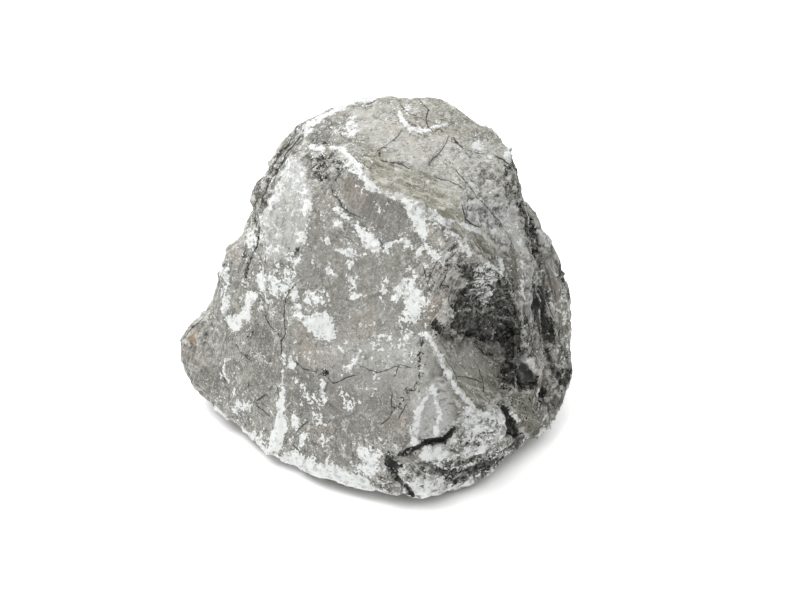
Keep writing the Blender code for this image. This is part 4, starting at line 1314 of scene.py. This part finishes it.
    # Calcite patches in the same way, with a light dusting everywhere, and veins.
    dusted = f.plus(f.mark("calcite"), f.rise(clouds, 0.40, 0.62, 0.04))
    scatter = f.times(f.plus(f.noise(mm, *SCATTER), f.noise(mm, *SMALL_SCATTER)), 0.5)
    covered = f.rise(f.minus(dusted, f.rise(scatter, 0.38, 0.62)), -0.03, 0.03)
    wavering = f.times(f.minus(f.noise(mm, *VEIN_WAVER), 0.42), 4.0)
    off_vein = f.plus(f.math("ABSOLUTE", f.mark("vein")), wavering)
    vein = f.times(f.rise(off_vein, 1.3, 0.5), f.rise(f.mark("vein_gate"), 0.25, 0.6, 0.85))
    vein = f.times(vein, f.rise(f.noise(mm, *VEIN_GAPS), 0.42, 0.52))
    white = f.math("MAXIMUM", covered, vein)
    calcite = f.mix(f.rise(f.noise(mm, *CALCITE_TONE), 0.38, 0.50), CALCITE_GREY, CALCITE)
    calcite = f.mix(f.rise(crazed, 0.45, 0.70, 0.45), calcite, CALCITE_GREY)
    colour = f.mix(f.times(white, 0.96), colour, calcite)

    # Cracks.
    crooked = f.times(f.minus(f.noise(mm, *CRACK_WAVER), 0.45), 3.0)
    off_crack = f.plus(f.math("ABSOLUTE", f.mark("crack")), crooked)
    crack = f.times(f.rise(off_crack, 1.35, 0.55), f.rise(f.mark("crack_gate"), 0.25, 0.6, 0.90))
    crack = f.times(crack, f.rise(f.noise(mm, *CRACK_GAPS), 0.35, 0.44))
    colour = f.mix(crack, colour, CRACK)

    # Fine relief, in metres: mottle, grain, layers, the edges of the calcite, and cracks.
    surface = f.bump(mottle, 0.0005, 0.8)
    surface = f.bump(grain, 0.0003, 0.8, surface)
    surface = f.bump(f.times(layer, grained), 0.0008, 0.8, surface)
    surface = f.bump(white, 0.0002, 0.7, surface)
    surface = f.bump(f.minus(1.0, crack), 0.0004, 0.7, surface)
    matt = f.add("ShaderNodeMapRange", {"Value": white, "To Min": 0.90, "To Max": 0.65}).outputs[0]
    look = {"Base Color": colour, "Roughness": matt, "Normal": surface}
    return f.finished(look | {"Specular IOR Level": 0.25, "IOR": 1.5})


def make_stone():
    mesh = fine_surface(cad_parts["rock"])
    weather(mesh)
    mesh.name = "rough stone"
    mesh.shade_smooth()
    mesh.materials.append(stone_finish())
    stone = bpy.data.objects.new("rough_stone", mesh)
    bpy.context.scene.collection.objects.link(stone)
    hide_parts("rock")
    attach(stone, "root")


# ------------------------------------------------------------------------ camera, floor and light


def make_camera():
    lens = bpy.data.cameras.new("picture camera")
    lens.lens = LENS
    lens.sensor_width = SENSOR
    camera = bpy.data.objects.new("picture camera", lens)
    camera.location = CAMERA_PLACE
    camera.rotation_euler = (-TO_CAMERA).to_track_quat("-Z", "Y").to_euler()
    bpy.context.scene.collection.objects.link(camera)
    bpy.context.scene.camera = camera


def make_floor():
    sheet = bpy.data.meshes.new("floor")
    half = FLOOR_WIDTH / 2
    corners = [(-half, -half, 0.0), (half, -half, 0.0), (half, half, 0.0), (-half, half, 0.0)]
    sheet.from_pydata(corners, [], [(0, 1, 2, 3)])
    f = Finish("white paper")
    # The paper glows, and the glow fades where the stone stands over it: a painted shadow.
    shade = {"Distance": FLOOR_REACH, "Normal": PAINTED_SHADOW_TILT}
    openness = f.add("ShaderNodeAmbientOcclusion", shade, samples=SHADE_SAMPLES).outputs["AO"]
    glow = f.rise(openness, 0.12, 0.58, FLOOR_GLOW)
    look = {"Base Color": FLOOR_COLOUR, "Roughness": 0.95, "Specular IOR Level": 0.0}
    sheet.materials.append(f.finished(look | {"Emission Color": WHITE, "Emission Strength": glow}))
    floor = bpy.data.objects.new("floor", sheet)
    bpy.context.scene.collection.objects.link(floor)


def make_light():
    world = bpy.data.worlds.new("soft room")
    world.use_nodes = True
    background = world.node_tree.nodes["Background"]
    background.inputs["Color"].default_value = WHITE
    background.inputs["Strength"].default_value = ROOM_LIGHT
    bpy.context.scene.world = world
    lamp = bpy.data.lights.new("key", "AREA")
    lamp.shape = "DISK"
    lamp.size = LAMP_SIZE
    lamp.energy = LAMP_POWER
    place = bpy.data.objects.new("key", lamp)
    place.location = LAMP_TOWARD.normalized() * LAMP_DISTANCE
    place.rotation_euler = (-place.location).to_track_quat("-Z", "Y").to_euler()
    bpy.context.scene.collection.objects.link(place)
    bpy.context.scene.view_settings.view_transform = "Standard"


make_camera()
make_floor()
make_light()
make_stone()
